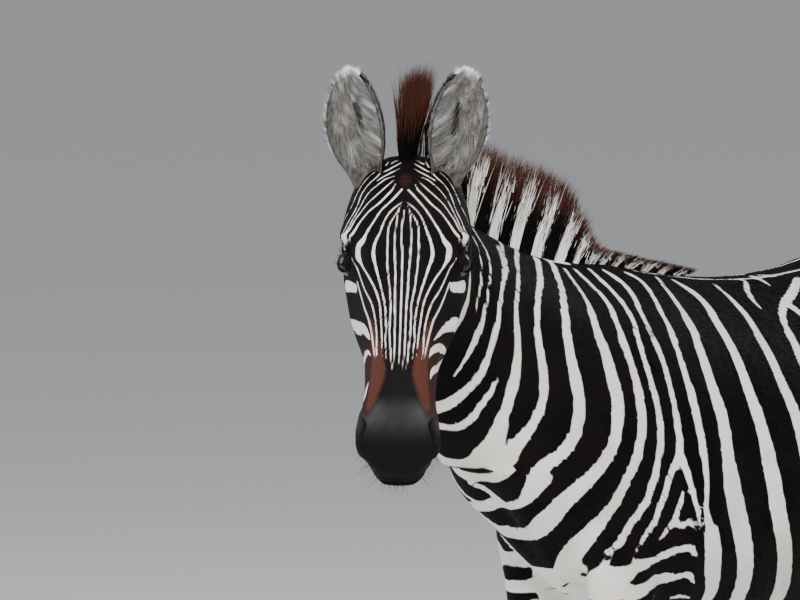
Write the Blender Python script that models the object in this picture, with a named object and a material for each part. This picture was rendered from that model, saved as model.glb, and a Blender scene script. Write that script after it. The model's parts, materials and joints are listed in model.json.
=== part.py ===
"""A life-size plains zebra that stands still and looks to its left.

Metres, +Z up. The zebra faces -Y and its left side is +X. The body is laid out
straight and symmetric first, and `posed` then turns the neck and head and sets
the stance. The origin is on the floor under the middle of the whole figure.
"""

import math

import bmesh
import bpy
import numpy as np
from mathutils import Matrix

# ---- Driving sizes -------------------------------------------------------
HEAD_PITCH = math.radians(58)
POLL = (-0.955, 1.482)
HEAD_TURN = math.radians(37)
GAP, MANE_GAP = 0.0004, 0.0016
VOXEL = 0.008
EYE_RADIUS = 0.0215
EYE_ALONG = 0.155
EYE_DEPTH = 0.056
EYE_SIDE = 0.0805
EAR_LENGTH = 0.172
HOOF_HEIGHT = 0.058
LEG_TOP = 0.63
BODY_FACES, HEAD_FACES, FACE_LINE = 3150, 1150, -0.80
KNEE_CUT, HOCK_CUT = 0.425, 0.490

# ---- Colours (linear) and finishes ---------------------------------------
FINISHES = {
    "coat_white": ((0.72, 0.69, 0.64), 0.75),
    "coat_black": ((0.016, 0.014, 0.014), 0.65),
    "mane_brown": ((0.10, 0.032, 0.022), 0.7),
    "hoof_horn": ((0.045, 0.04, 0.036), 0.45),
    "eye_dark": ((0.01, 0.006, 0.004), 0.08),
    "ear_grey": ((0.42, 0.42, 0.41), 0.8),
}

# ---- Sections of the neck and trunk --------------------------------------
# Each row: top (y, z), bottom (y, z), then the half-widths at TORSO_LEVELS.
TORSO_LEVELS = (0.04, 0.22, 0.48, 0.74, 0.95)
TORSO = (
    (-0.962, 1.457, -0.858, 1.328, 0.010, 0.034, 0.042, 0.036, 0.014),
    (-0.926, 1.480, -0.800, 1.250, 0.018, 0.058, 0.076, 0.068, 0.030),
    (-0.840, 1.460, -0.750, 1.172, 0.020, 0.064, 0.085, 0.079, 0.038),
    (-0.715, 1.410, -0.684, 1.080, 0.024, 0.074, 0.098, 0.091, 0.046),
    (-0.590, 1.355, -0.604, 0.985, 0.028, 0.084, 0.108, 0.103, 0.052),
    (-0.470, 1.308, -0.530, 0.895, 0.034, 0.100, 0.128, 0.124, 0.064),
    (-0.355, 1.283, -0.405, 0.770, 0.044, 0.122, 0.153, 0.142, 0.066),
    (-0.252, 1.272, -0.285, 0.692, 0.054, 0.142, 0.180, 0.168, 0.080),
    (-0.130, 1.252, -0.160, 0.655, 0.064, 0.160, 0.208, 0.204, 0.104),
    (0.000, 1.236, -0.010, 0.632, 0.072, 0.176, 0.229, 0.222, 0.116),
    (0.140, 1.230, 0.135, 0.622, 0.078, 0.184, 0.237, 0.226, 0.122),
    (0.280, 1.238, 0.272, 0.642, 0.082, 0.186, 0.230, 0.214, 0.114),
    (0.400, 1.256, 0.400, 0.695, 0.084, 0.180, 0.215, 0.196, 0.098),
    (0.500, 1.260, 0.510, 0.762, 0.078, 0.166, 0.198, 0.180, 0.086),
    (0.590, 1.236, 0.600, 0.835, 0.056, 0.142, 0.174, 0.160, 0.070),
    (0.648, 1.190, 0.672, 0.930, 0.036, 0.098, 0.132, 0.120, 0.056),
    (0.676, 1.130, 0.694, 1.010, 0.016, 0.042, 0.052, 0.042, 0.022),
)

# ---- Sections of the head -------------------------------------------------
# Each row: distance from the poll, top, bottom, half-widths at HEAD_LEVELS.
HEAD_LEVELS = (0.05, 0.26, 0.55, 0.88)
HEAD = (
    (-0.030, -0.034, -0.150, 0.020, 0.052, 0.052, 0.030),
    (0.000, -0.014, -0.180, 0.034, 0.074, 0.072, 0.038),
    (0.040, 0.000, -0.212, 0.050, 0.090, 0.084, 0.044),
    (0.085, 0.008, -0.234, 0.060, 0.099, 0.092, 0.052),
    (0.125, 0.010, -0.236, 0.062, 0.097, 0.094, 0.056),
    (0.160, 0.008, -0.228, 0.058, 0.090, 0.093, 0.056),
    (0.205, 0.004, -0.210, 0.050, 0.078, 0.088, 0.054),
    (0.265, 0.001, -0.176, 0.042, 0.066, 0.076, 0.044),
    (0.330, -0.001, -0.146, 0.037, 0.057, 0.060, 0.034),
    (0.395, -0.003, -0.128, 0.036, 0.055, 0.053, 0.032),
    (0.440, -0.006, -0.120, 0.041, 0.062, 0.057, 0.034),
    (0.472, -0.013, -0.122, 0.042, 0.066, 0.061, 0.037),
    (0.498, -0.030, -0.118, 0.034, 0.058, 0.056, 0.034),
    (0.514, -0.052, -0.100, 0.018, 0.034, 0.034, 0.020),
)

# ---- Limbs: centre (x, y, z), half-width across, half-width fore and aft --
FORELEG = (
    (0.076, -0.265, 1.130, 0.038, 0.068),
    (0.086, -0.290, 1.030, 0.048, 0.094),
    (0.092, -0.310, 0.930, 0.050, 0.102),
    (0.095, -0.314, 0.840, 0.049, 0.092),
    (0.098, -0.314, 0.755, 0.046, 0.077),
    (0.102, -0.318, 0.670, 0.044, 0.062),
    (0.101, -0.324, 0.570, 0.037, 0.047),
    (0.101, -0.329, 0.480, 0.031, 0.036),
    (0.101, -0.334, 0.430, 0.035, 0.038),
    (0.101, -0.329, 0.380, 0.029, 0.033),
    (0.101, -0.322, 0.330, 0.022, 0.027),
    (0.101, -0.319, 0.240, 0.021, 0.027),
    (0.101, -0.322, 0.190, 0.024, 0.032),
    (0.101, -0.326, 0.155, 0.029, 0.035),
    (0.101, -0.338, 0.115, 0.024, 0.027),
    (0.101, -0.354, 0.078, 0.029, 0.032),
    (0.101, -0.368, 0.040, 0.032, 0.036),
)
HINDLEG = (
    (0.074, 0.460, 1.120, 0.056, 0.110),
    (0.100, 0.495, 1.030, 0.076, 0.150),
    (0.112, 0.505, 0.940, 0.082, 0.166),
    (0.116, 0.492, 0.850, 0.078, 0.160),
    (0.116, 0.482, 0.765, 0.069, 0.136),
    (0.111, 0.520, 0.680, 0.055, 0.098),
    (0.109, 0.570, 0.605, 0.043, 0.067),
    (0.108, 0.618, 0.545, 0.034, 0.052),
    (0.107, 0.647, 0.490, 0.035, 0.053),
    (0.106, 0.650, 0.435, 0.030, 0.043),
    (0.106, 0.643, 0.380, 0.024, 0.032),
    (0.106, 0.636, 0.270, 0.022, 0.029),
    (0.106, 0.633, 0.200, 0.025, 0.033),
    (0.106, 0.630, 0.160, 0.029, 0.036),
    (0.106, 0.617, 0.115, 0.024, 0.027),
    (0.106, 0.601, 0.078, 0.029, 0.032),
    (0.106, 0.587, 0.040, 0.032, 0.036),
)
# Muscle and bone under the skin: centre, half-sizes, and how far the skin is pushed out.
SWELLINGS = (
    ((0.070, -0.500, 0.925), (0.055, 0.080, 0.060), 0.012),  # breast muscle
    ((0.000, -0.490, 0.860), (0.020, 0.080, 0.120), -0.010),  # groove of the breast
    ((0.125, -0.420, 0.930), (0.080, 0.060, 0.080), 0.006),  # point of the shoulder
    ((0.170, -0.235, 0.880), (0.090, 0.070, 0.100), 0.016),  # triceps
    ((0.180, -0.125, 0.860), (0.080, 0.045, 0.120), -0.006),  # hollow behind the arm
    ((0.130, -0.300, 1.090), (0.080, 0.060, 0.110), 0.006),  # ridge of the shoulder blade
    ((0.110, -0.430, 1.060), (0.080, 0.050, 0.120), -0.005),  # hollow before the shoulder
    ((0.170, 0.330, 1.140), (0.080, 0.070, 0.070), 0.010),  # point of the hip
    ((0.190, 0.320, 0.960), (0.080, 0.090, 0.120), -0.010),  # hollow of the flank
    ((0.160, 0.540, 1.000), (0.090, 0.120, 0.140), 0.010),  # haunch
    ((0.160, 0.380, 0.790), (0.080, 0.060, 0.070), 0.012),  # stifle
    ((0.108, 0.710, 0.520), (0.030, 0.034, 0.036), 0.018),  # point of the hock
    ((0.108, 0.665, 0.590), (0.018, 0.030, 0.060), 0.010),  # tendon above the hock
    ((0.101, -0.372, 0.430), (0.030, 0.020, 0.034), 0.004),  # front of the knee
)
# The same on the head, given by distance down the face, to the side, and out of it.
FACE_SWELLINGS = (
    ((0.440, 0.052, -0.044), (0.022, 0.016, 0.020), -0.009),  # nostril
    ((0.452, 0.048, -0.028), (0.026, 0.018, 0.014), 0.005),  # rim over the nostril
    ((0.120, 0.085, -0.150), (0.060, 0.050, 0.055), 0.006),  # cheek
    ((0.200, 0.075, -0.085), (0.060, 0.040, 0.014), 0.004),  # ridge below the eye
    ((0.300, 0.055, -0.070), (0.060, 0.030, 0.030), -0.005),  # hollow beside the nose
    ((0.500, 0.000, -0.092), (0.040, 0.060, 0.008), -0.005),  # mouth
    ((0.478, 0.000, -0.122), (0.022, 0.030, 0.020), 0.005),  # chin
    ((0.115, 0.094, -0.034), (0.026, 0.030, 0.022), 0.011),  # ridge over the eye
    ((0.070, 0.070, -0.020), (0.030, 0.026, 0.030), -0.005),  # hollow of the temple
)


def crossed(rows, per_span, closed=False):
    """Rows filled in by a smooth cubic that passes through every given row."""
    rows = np.asarray(rows, float)
    count = len(rows)
    flat = rows.reshape(count, -1)
    if closed:
        before, after = np.roll(flat, 1, 0), np.roll(flat, -1, 0)
        slope = (after - before) / 2
        spans = [(i, (i + 1) % count, 1.0) for i in range(count)]
        step = np.ones(count)
    else:
        step = np.linalg.norm(np.diff(flat, axis=0), axis=1)
        rate = np.diff(flat, axis=0) / step[:, None]
        slope = np.empty_like(flat)
        slope[0], slope[-1] = rate[0], rate[-1]
        mix = step[:-1, None] + step[1:, None]
        slope[1:-1] = (rate[:-1] * step[1:, None] + rate[1:] * step[:-1, None]) / mix
        spans = [(i, i + 1, step[i]) for i in range(count - 1)]
    made = []
    for i, j, length in spans:
        for s in np.arange(per_span) / per_span:
            a = 2 * s**3 - 3 * s**2 + 1
            b = s**3 - 2 * s**2 + s
            c = 3 * s**2 - 2 * s**3
            d = s**3 - s**2
            made.append(a * flat[i] + b * length * slope[i] + c * flat[j] + d * length * slope[j])
    if not closed:
        made.append(flat[-1])
    return np.array(made).reshape(-1, *rows.shape[1:])


def upright_rings(sections, levels, per_span, around):
    """Rings from rows of top (y, z), bottom (y, z) and half-widths at the levels."""
    rings = []
    for row in crossed(sections, per_span):
        top, bottom, widths = row[0:2], row[2:4], row[4:]
        half = [(w, *(top + (bottom - top) * t)) for w, t in zip(widths, levels)]
        ring = [(0, *top), *half, (0, *bottom), *[(-x, y, z) for x, y, z in reversed(half)]]
        rings.append(crossed(ring, around, closed=True))
    return np.array(rings)


def level_rings(stations, per_span, around):
    """Rings of a limb: a flat oval at each height."""
    turn = np.arange(around) * 2 * math.pi / around
    return np.array(
        [
            np.stack([x + a * np.cos(turn), y - b * np.sin(turn), np.full(around, z)], 1)
            for x, y, z, a, b in crossed(stations, per_span)
        ]
    )


def skinned(name, rings):
    """A closed mesh object over a row of rings, with a flat face at each end."""
    count, around = rings.shape[:2]
    points = [tuple(p) for p in rings.reshape(-1, 3)]
    last = (count - 1) * around
    faces = [tuple(range(around))[::-1], tuple(range(last, last + around))]
    for k in range(around):
        n = (k + 1) % around
        faces += [
            (i * around + k, i * around + n, (i + 1) * around + n, (i + 1) * around + k)
            for i in range(count - 1)
        ]
    mesh = bpy.data.meshes.new(name)
    mesh.from_pydata(points, [], faces)
    return with_outward_faces(linked(name, mesh))


def linked(name, mesh):
    found = bpy.data.objects.new(name, mesh)
    bpy.context.scene.collection.objects.link(found)
    return found


def with_outward_faces(obj):
    work = bmesh.new()
    work.from_mesh(obj.data)
    bmesh.ops.triangulate(work, faces=work.faces, ngon_method="EAR_CLIP")
    bmesh.ops.recalc_face_normals(work, faces=work.faces)
    if work.calc_volume(signed=True) < 0:
        bmesh.ops.reverse_faces(work, faces=work.faces)
    work.to_mesh(obj.data)
    work.free()
    return obj


def ball(name, centre, half_sizes, rings=16):
    work = bmesh.new()
    bmesh.ops.create_uvsphere(work, u_segments=2 * rings, v_segments=rings, radius=1)
    bmesh.ops.transform(
        work,
        matrix=Matrix.Translation(centre) @ Matrix.Diagonal((*half_sizes, 1)),
        verts=work.verts,
    )
    mesh = bpy.data.meshes.new(name)
    work.to_mesh(mesh)
    work.free()
    return linked(name, mesh)


def mirrored(rings):
    return rings * np.array((-1, 1, 1))


def head_axes():
    """The poll, the way down the face, and the way out of the forehead."""
    poll = np.array((0.0, *POLL))
    along = np.array((0.0, -math.cos(HEAD_PITCH), -math.sin(HEAD_PITCH)))
    out = np.array((0.0, -math.sin(HEAD_PITCH), math.cos(HEAD_PITCH)))
    return poll, along, out


def head_sections():
    poll, along, out = head_axes()
    rows = []
    for a, top, bottom, *widths in HEAD:
        high, low = poll + a * along + top * out, poll + a * along + bottom * out
        rows.append((*high[1:], *low[1:], *widths))
    return rows


def eye_centre(side):
    poll, along, out = head_axes()
    return poll + EYE_ALONG * along - EYE_DEPTH * out + np.array((side * EYE_SIDE, 0, 0))


# ---- Pose -----------------------------------------------------------------
NECK_BASE = np.array((-0.50, 1.12))
NECK_END = np.array((-0.835, 1.375))
# The line behind the poll and jaw, along which the head meets the neck.
HEAD_BACK = np.array((-0.905, 1.500))
HEAD_FRONTWARD = np.array((-0.930, -0.368))
HEAD_BLEND, HEAD_FLOOR = 0.15, 0.96
# How far each leg stands forward of square: left fore, right fore, left hind, right hind.
STANCE = {(1, -1): -0.030, (-1, -1): 0.075, (1, 1): 0.050, (-1, 1): -0.045}
STANCE_TOP, STANCE_FOOT = 0.95, 0.35
# Middle of each pair of legs along the body, and the reach of their sway.
LEG_MIDDLE, SWAY_FULL, SWAY_END = {-1: -0.33, 1: 0.53}, 0.14, 0.28


def eased(value):
    value = np.clip(value, 0, 1)
    return value * value * (3 - 2 * value)


def bent(points, at):
    """Points carried by the bent neck as if they all sat at the share `at` of its length."""
    line = NECK_END - NECK_BASE
    steps = 80
    marks = np.arange(steps + 1) / steps
    middle = HEAD_TURN * ((marks[1:] + marks[:-1]) / 2) ** 2
    path_x = np.append(0, np.cumsum(-np.sin(middle))) * line[0] / steps
    path_y = np.append(0, np.cumsum(np.cos(middle))) * line[0] / steps
    bend = HEAD_TURN * at**2
    off_x, off_y = points[:, 0], points[:, 1] - NECK_BASE[0] - at * line[0]
    made = points.copy()
    made[:, 0] = np.interp(at, marks, path_x) + off_x * np.cos(bend) - off_y * np.sin(bend)
    made[:, 1] = NECK_BASE[0] + np.interp(at, marks, path_y)
    made[:, 1] += off_x * np.sin(bend) + off_y * np.cos(bend)
    return made


def posed(points):
    """Points of the straight body moved to the stance, with the neck bent to the left."""
    points = np.array(points, float).reshape(-1, 3)
    low = eased((STANCE_TOP - points[:, 2]) / (STANCE_TOP - STANCE_FOOT))
    sway = np.zeros(len(points))
    for (side, end), shift in STANCE.items():
        away = np.abs(points[:, 1] - LEG_MIDDLE[end])
        near = eased((SWAY_END - away) / (SWAY_END - SWAY_FULL))
        sway += shift * low * near * eased(side * points[:, 0] / 0.06)
    points[:, 1] += sway
    line = NECK_END - NECK_BASE
    at = np.clip((points[:, 1:] - NECK_BASE) @ line / (line @ line), 0, 1)
    ahead = (points[:, 1:] - HEAD_BACK) @ HEAD_FRONTWARD
    head = (eased((ahead + HEAD_BLEND) / HEAD_BLEND) * (points[:, 2] > HEAD_FLOOR))[:, None]
    return bent(points, at) * (1 - head) + bent(points, np.ones(len(points))) * head


# ---- Whole body -----------------------------------------------------------
TAIL = (
    (0.000, 0.640, 1.165, 0.030, 0.026),
    (0.000, 0.690, 1.120, 0.024, 0.022),
    (0.000, 0.722, 1.040, 0.019, 0.018),
    (0.000, 0.732, 0.940, 0.016, 0.016),
    (0.000, 0.735, 0.840, 0.014, 0.014),
    (0.000, 0.736, 0.770, 0.014, 0.014),
)


def body_lofts():
    """The overlapping closed forms that together make the straight body."""
    fore, hind = level_rings(FORELEG, 4, 24), level_rings(HINDLEG, 4, 24)
    forms = [
        skinned("torso", upright_rings(TORSO, TORSO_LEVELS, 4, 4)),
        skinned("face", upright_rings(head_sections(), HEAD_LEVELS, 5, 5)),
    ]
    for side, turn in ((1, np.array), (-1, mirrored)):
        forms += [skinned("fore", turn(fore)), skinned("hind", turn(hind))]
        brow = eye_centre(side) + np.array((-side * 0.014, 0, 0.002))
        forms.append(ball("brow", brow, (0.028, 0.037, 0.036), 10))
    return forms


def joined(forms, name):
    work = bmesh.new()
    for form in forms:
        work.from_mesh(form.data)
        bpy.data.objects.remove(form)
    mesh = bpy.data.meshes.new(name)
    work.to_mesh(mesh)
    work.free()
    return linked(name, mesh)


def settled(obj):
    """The object's modifiers made part of its mesh."""
    graph = bpy.context.evaluated_depsgraph_get()
    mesh = bpy.data.meshes.new_from_object(obj.evaluated_get(graph))
    obj.modifiers.clear()
    obj.data = mesh
    return obj


def mesh_points(mesh):
    points = np.empty(len(mesh.vertices) * 3)
    mesh.vertices.foreach_get("co", points)
    return points.reshape(-1, 3)


def set_points(mesh, points):
    mesh.vertices.foreach_set("co", np.asarray(points, np.float32).ravel())
    mesh.update()


def softened(points, edges, weight, rounds, forward=0.55, back=-0.58):
    """Creases eased out without thinning the form: each round smooths, then swells."""
    count = len(points)
    valence = np.bincount(edges.ravel(), minlength=count)[:, None]
    for _ in range(rounds):
        for share in (forward, back):
            total = np.zeros_like(points)
            for axis in range(3):
                total[:, axis] = np.bincount(edges[:, 0], points[edges[:, 1], axis], count)
                total[:, axis] += np.bincount(edges[:, 1], points[edges[:, 0], axis], count)
            points = points + share * weight[:, None] * (total / valence - points)
    return points


def mesh_edges(mesh):
    edges = np.empty(len(mesh.edges) * 2, np.int32)
    mesh.edges.foreach_get("vertices", edges)
    return edges.reshape(-1, 2)


def joint_weight(points):
    """1 where limbs and muscles run into the trunk, less on the head and low on the legs."""
    legs = eased((points[:, 2] - 0.50) / 0.20)
    ahead = (points[:, 1:] - HEAD_BACK) @ HEAD_FRONTWARD
    head = eased((ahead - 0.01) / 0.06) * (points[:, 2] > HEAD_FLOOR)
    return (0.25 + 0.75 * legs) * (1 - 0.75 * head)


def swellings():
    """Every push of the skin as a centre, three axes and a height."""
    poll, along, out = head_axes()
    side_way = np.array((1.0, 0.0, 0.0))
    for centre, sizes, height in SWELLINGS:
        yield np.array(centre), np.eye(3) / np.array(sizes)[:, None], height
    for (a, s, o), sizes, height in FACE_SWELLINGS:
        ways = np.stack((along, side_way, out)) / np.array(sizes)[:, None]
        yield poll + a * along + s * side_way + o * out, ways, height


def swollen(mesh):
    """The mesh's points pushed along its normals by the muscles under the skin."""
    points = mesh_points(mesh)
    normals = np.empty(len(points) * 3, np.float32)
    mesh.vertices.foreach_get("normal", normals)
    push = np.zeros(len(points))
    half = points * np.where(points[:, :1] < 0, (-1, 1, 1), (1, 1, 1))
    for centre, ways, height in swellings():
        push += height * np.exp(-(((half - centre) @ ways.T) ** 2).sum(1))
    return points + normals.reshape(-1, 3) * push[:, None]


def thinned(obj, ahead, faces):
    """The skin before or behind the neck's top collapsed until it holds about `faces`."""
    points = mesh_points(obj.data)
    region = (points[:, 1] < FACE_LINE) == ahead
    group = obj.vertex_groups.new(name="thin")
    group.add([int(i) for i in np.flatnonzero(region)], 1.0, "REPLACE")
    obj.data.calc_loop_triangles()
    whole = len(obj.data.loop_triangles)
    corners = np.empty(whole * 3, np.int32)
    obj.data.loop_triangles.foreach_get("vertices", corners)
    inside = int(region[corners.reshape(-1, 3)].all(1).sum())
    fewer = obj.modifiers.new("fewer_faces", "DECIMATE")
    fewer.vertex_group = "thin"
    fewer.vertex_group_factor = 1e-6
    fewer.ratio = (whole - inside + faces) / whole
    settled(obj)
    obj.vertex_groups.clear()


def whole_body():
    """The straight body in one closed skin, with its muscles and face formed."""
    body = joined(body_lofts(), "body")
    remesh = body.modifiers.new("one_skin", "REMESH")
    remesh.mode = "VOXEL"
    remesh.voxel_size = VOXEL
    settled(body)
    points, edges = mesh_points(body.data), mesh_edges(body.data)
    points = softened(points, edges, joint_weight(points), 140)
    points = softened(points, edges, np.ones(len(points)), 3)
    set_points(body.data, points)
    set_points(body.data, swollen(body.data))
    thinned(body, False, BODY_FACES)
    thinned(body, True, HEAD_FACES)
    return body


# ---- Cutting the body into its parts --------------------------------------
FAR = 3.0
UP, DOWN = np.array((0.0, 0.0, 1.0)), np.array((0.0, 0.0, -1.0))
NECK_LINE = np.append(0, NECK_END - NECK_BASE) / np.linalg.norm(NECK_END - NECK_BASE)
NECK_START = (np.append(0, NECK_BASE), NECK_LINE)
HEAD_START = (np.append(0, HEAD_BACK), np.append(0, HEAD_FRONTWARD))
# Stretch of the trunk's length that each pair of legs hangs from.
LEG_REACH = {-1: (-0.56, -0.19), 1: (0.37, 0.80)}


def level(height, direction):
    return np.array((0.0, 0.0, height)), direction


def flipped(plane):
    return plane[0], -plane[1]


def carved(body, name, planes, box=None):
    """The stretch of the body behind each plane and inside the box, closed.

    Every cut lies half the gap inside its plane, so parts that meet stay apart.
    """
    work = bmesh.new()
    work.from_mesh(body.data)
    for point, direction in planes:
        cut = bmesh.ops.bisect_plane(
            work,
            geom=[*work.verts, *work.edges, *work.faces],
            plane_co=point - direction * GAP / 2,
            plane_no=direction,
            clear_outer=True,
        )["geom_cut"]
        rim = [e for e in cut if isinstance(e, bmesh.types.BMEdge)]
        bmesh.ops.triangle_fill(work, edges=rim, use_beauty=True, normal=direction)
    if box:
        low, high = box
        out = [v for v in work.verts if not all(low[i] < v.co[i] < high[i] for i in range(2))]
        bmesh.ops.delete(work, geom=out, context="VERTS")
    mesh = bpy.data.meshes.new(name)
    work.to_mesh(mesh)
    work.free()
    return with_outward_faces(linked(name, mesh))


def trunk_part(body):
    """The trunk with a flat cap where each leg leaves it."""
    work = bmesh.new()
    work.from_mesh(body.data)
    point, direction = NECK_START
    bisect = bmesh.ops.bisect_plane
    whole = [*work.verts, *work.edges, *work.faces]
    cut = bisect(
        work, geom=whole, plane_co=point - direction * GAP / 2, plane_no=direction, clear_outer=True
    )["geom_cut"]
    rim = [e for e in cut if isinstance(e, bmesh.types.BMEdge)]
    bmesh.ops.triangle_fill(work, edges=rim, use_beauty=True, normal=direction)
    for end, (back, front) in LEG_REACH.items():
        near = [f for f in work.faces if back < f.calc_center_median().y < front]
        near = [f for f in near if f.calc_center_median().z < LEG_TOP + 0.05]
        corners = {v for f in near for v in f.verts}
        sides = {e for f in near for e in f.edges}
        height = LEG_TOP + GAP / 2
        bisect(work, geom=[*corners, *sides, *near], plane_co=(0, 0, height), plane_no=UP)
        low = [v for v in work.verts if v.co.z < height - 1e-6 and back < v.co.y < front]
        bmesh.ops.delete(work, geom=low, context="VERTS")
        rim = [e for e in work.edges if e.is_boundary]
        bmesh.ops.triangle_fill(work, edges=rim, use_beauty=True, normal=DOWN)
    mesh = bpy.data.meshes.new("trunk")
    work.to_mesh(mesh)
    work.free()
    return with_outward_faces(linked("trunk", mesh))


def body_parts(body):
    """Head, neck, trunk and the eight pieces of the legs."""
    parts = {
        "head": carved(body, "head", [flipped(HEAD_START)]),
        "neck": carved(body, "neck", [HEAD_START, flipped(NECK_START)]),
        "trunk": trunk_part(body),
    }
    for end, (back, front) in LEG_REACH.items():
        kind = "fore" if end < 0 else "hind"
        bend = KNEE_CUT if end < 0 else HOCK_CUT
        for side, hand in ((1, "left"), (-1, "right")):
            near, far = sorted((side * 0.012, side * FAR))
            box = ((near, back), (far, front))
            upper, lower = f"{kind}leg_upper_{hand}", f"{kind}leg_lower_{hand}"
            cuts = [level(LEG_TOP, UP), level(bend, DOWN)]
            parts[upper] = carved(body, upper, cuts, box)
            cuts = [level(bend, UP), level(HOOF_HEIGHT, DOWN)]
            parts[lower] = carved(body, lower, cuts, box)
    return parts


# ---- Mane, ears, tail, hooves and eyes -------------------------------------
# Mane along the crest: foot (y, z), tip (y, z), half-thickness at foot, middle and tip.
MANE = (
    (-1.010, 1.436, -1.022, 1.530, 0.012, 0.012, 0.008),
    (-0.988, 1.444, -1.000, 1.586, 0.018, 0.021, 0.014),
    (-0.955, 1.452, -0.966, 1.606, 0.018, 0.022, 0.015),
    (-0.915, 1.458, -0.915, 1.608, 0.018, 0.020, 0.012),
    (-0.840, 1.440, -0.815, 1.590, 0.018, 0.019, 0.011),
    (-0.760, 1.406, -0.715, 1.560, 0.018, 0.018, 0.010),
    (-0.670, 1.366, -0.610, 1.514, 0.018, 0.018, 0.010),
    (-0.580, 1.330, -0.505, 1.480, 0.017, 0.017, 0.009),
    (-0.490, 1.294, -0.412, 1.446, 0.016, 0.015, 0.008),
    (-0.420, 1.275, -0.350, 1.420, 0.015, 0.013, 0.007),
    (-0.365, 1.266, -0.308, 1.364, 0.013, 0.011, 0.006),
    (-0.310, 1.258, -0.270, 1.302, 0.011, 0.008, 0.004),
)
MANE_LEVELS = (0.07, 0.45, 0.88)  # from the tip down
MANE_LEAN = 0.12  # how far the hair between the ears tips to the left, per unit of height
# Tail: centre (x, y, z), half-width across, half-width fore and aft.
DOCK = (
    (0.000, 0.640, 1.170, 0.026, 0.022),
    (0.000, 0.680, 1.140, 0.026, 0.024),
    (0.000, 0.712, 1.080, 0.021, 0.020),
    (0.000, 0.728, 1.000, 0.018, 0.017),
    (0.000, 0.735, 0.900, 0.016, 0.015),
    (0.000, 0.738, 0.800, 0.014, 0.014),
)
TUFT = (
    (0.000, 0.738, 0.7996, 0.015, 0.015),
    (0.000, 0.740, 0.760, 0.024, 0.022),
    (0.000, 0.742, 0.700, 0.031, 0.027),
    (0.000, 0.743, 0.620, 0.034, 0.029),
    (0.000, 0.742, 0.540, 0.029, 0.024),
    (0.000, 0.740, 0.480, 0.018, 0.015),
    (0.000, 0.739, 0.450, 0.006, 0.005),
)
# Ear: share of its length, half-width, depth of the cup, thickness.
EAR = (
    (-0.10, 0.024, 0.018, 0.024),
    (0.06, 0.032, 0.026, 0.016),
    (0.22, 0.044, 0.034, 0.010),
    (0.42, 0.050, 0.032, 0.008),
    (0.60, 0.047, 0.026, 0.007),
    (0.76, 0.038, 0.018, 0.006),
    (0.89, 0.024, 0.009, 0.006),
    (0.97, 0.012, 0.003, 0.005),
    (1.00, 0.005, 0.001, 0.003),
)
EAR_ROOT = (0.012, 0.060, -0.034)  # down the face, to the side, out of it
EAR_LEAN, EAR_BACK, EAR_TWIST = math.radians(11), math.radians(4), math.radians(12)
# Hoof: height, half-width, half-length, and how far the middle sits ahead of its top.
HOOF = (
    (0.0000, 0.0430, 0.0520, 0.018),
    (0.0040, 0.0430, 0.0520, 0.017),
    (0.0300, 0.0390, 0.0460, 0.009),
    (0.0580, 0.0330, 0.0390, 0.000),
)
HOOF_Y = {-1: -0.362, 1: 0.593}
HOOF_X = {-1: 0.101, 1: 0.106}


def mane_rings():
    """Rings of the standing mane, from the tuft between the ears to the withers."""
    sections = [(*row[2:4], *row[0:2], *row[:3:-1]) for row in MANE]
    rings = upright_rings(sections, MANE_LEVELS, 1, 2)
    front = eased((-0.80 - rings[..., 1]) / 0.14)
    rings[..., 0] += MANE_LEAN * front * (rings[..., 2] - POLL[1])
    return rings


def ear_rings(side):
    """Rings of a cupped ear, open to the front and curled round at its edges."""
    poll, along, out = head_axes()
    root = poll + EAR_ROOT[0] * along + EAR_ROOT[2] * out + np.array((side * EAR_ROOT[1], 0, 0))
    up = np.array((side * math.sin(EAR_LEAN), math.sin(EAR_BACK), math.cos(EAR_LEAN)))
    up /= np.linalg.norm(up)
    front = np.array((side * math.sin(EAR_TWIST), -math.cos(EAR_TWIST), 0))
    front -= up * (front @ up)
    front /= np.linalg.norm(front)
    across = np.cross(up, front)
    rings = []
    turn = np.linspace(-1, 1, 9)
    for share, half, cup, thick in crossed(EAR, 1):
        lean = 0.010 * math.sin(math.pi * min(max(share, 0), 1))
        inner = [(half * 0.93 * t, cup * (t * t - 1) + thick * 0.35) for t in turn]
        outer = [(half * t, (cup + thick) * (abs(t) ** 2.4 - 1)) for t in turn[::-1]]
        flat = [*inner, *outer[1:-1]]
        middle = root + up * share * EAR_LENGTH + front * lean
        rings.append([middle + across * u + front * (v + cup * 0.5) for u, v in flat])
    return np.array(rings)


def grown(obj, distance):
    """A copy of a part swollen evenly by a small distance, to cut its neighbours with."""
    mesh = obj.data.copy()
    points = mesh_points(mesh)
    normals = np.empty(points.size, np.float32)
    mesh.vertices.foreach_get("normal", normals)
    set_points(mesh, points + normals.reshape(-1, 3) * distance)
    cutter = linked(obj.name + "_cutter", mesh)
    cutter.hide_render = True
    cutter.display_type = "WIRE"
    return cutter


def trimmed(obj, other, gap=GAP):
    """The object less another form, with the gap left between them."""
    cutter = grown(other, gap)
    cut = obj.modifiers.new("less_" + other.name, "BOOLEAN")
    cut.operation, cut.solver, cut.object = "DIFFERENCE", "EXACT", cutter
    settled(obj)
    bpy.data.objects.remove(cutter)
    return largest_piece(obj)


def largest_piece(obj):
    """Crumbs left by a cut are dropped, so the object stays one closed body."""
    work = bmesh.new()
    work.from_mesh(obj.data)
    left, pieces = set(work.verts), []
    while left:
        piece, edge = set(), [left.pop()]
        while edge:
            vert = edge.pop()
            piece.add(vert)
            near = [link.other_vert(vert) for link in vert.link_edges]
            edge += [v for v in near if v in left]
            left.difference_update(near)
        pieces.append(piece)
    pieces.sort(key=len)
    for piece in pieces[:-1]:
        bmesh.ops.delete(work, geom=list(piece), context="VERTS")
    bmesh.ops.triangulate(work, faces=work.faces)
    work.to_mesh(obj.data)
    work.free()
    return obj


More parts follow.
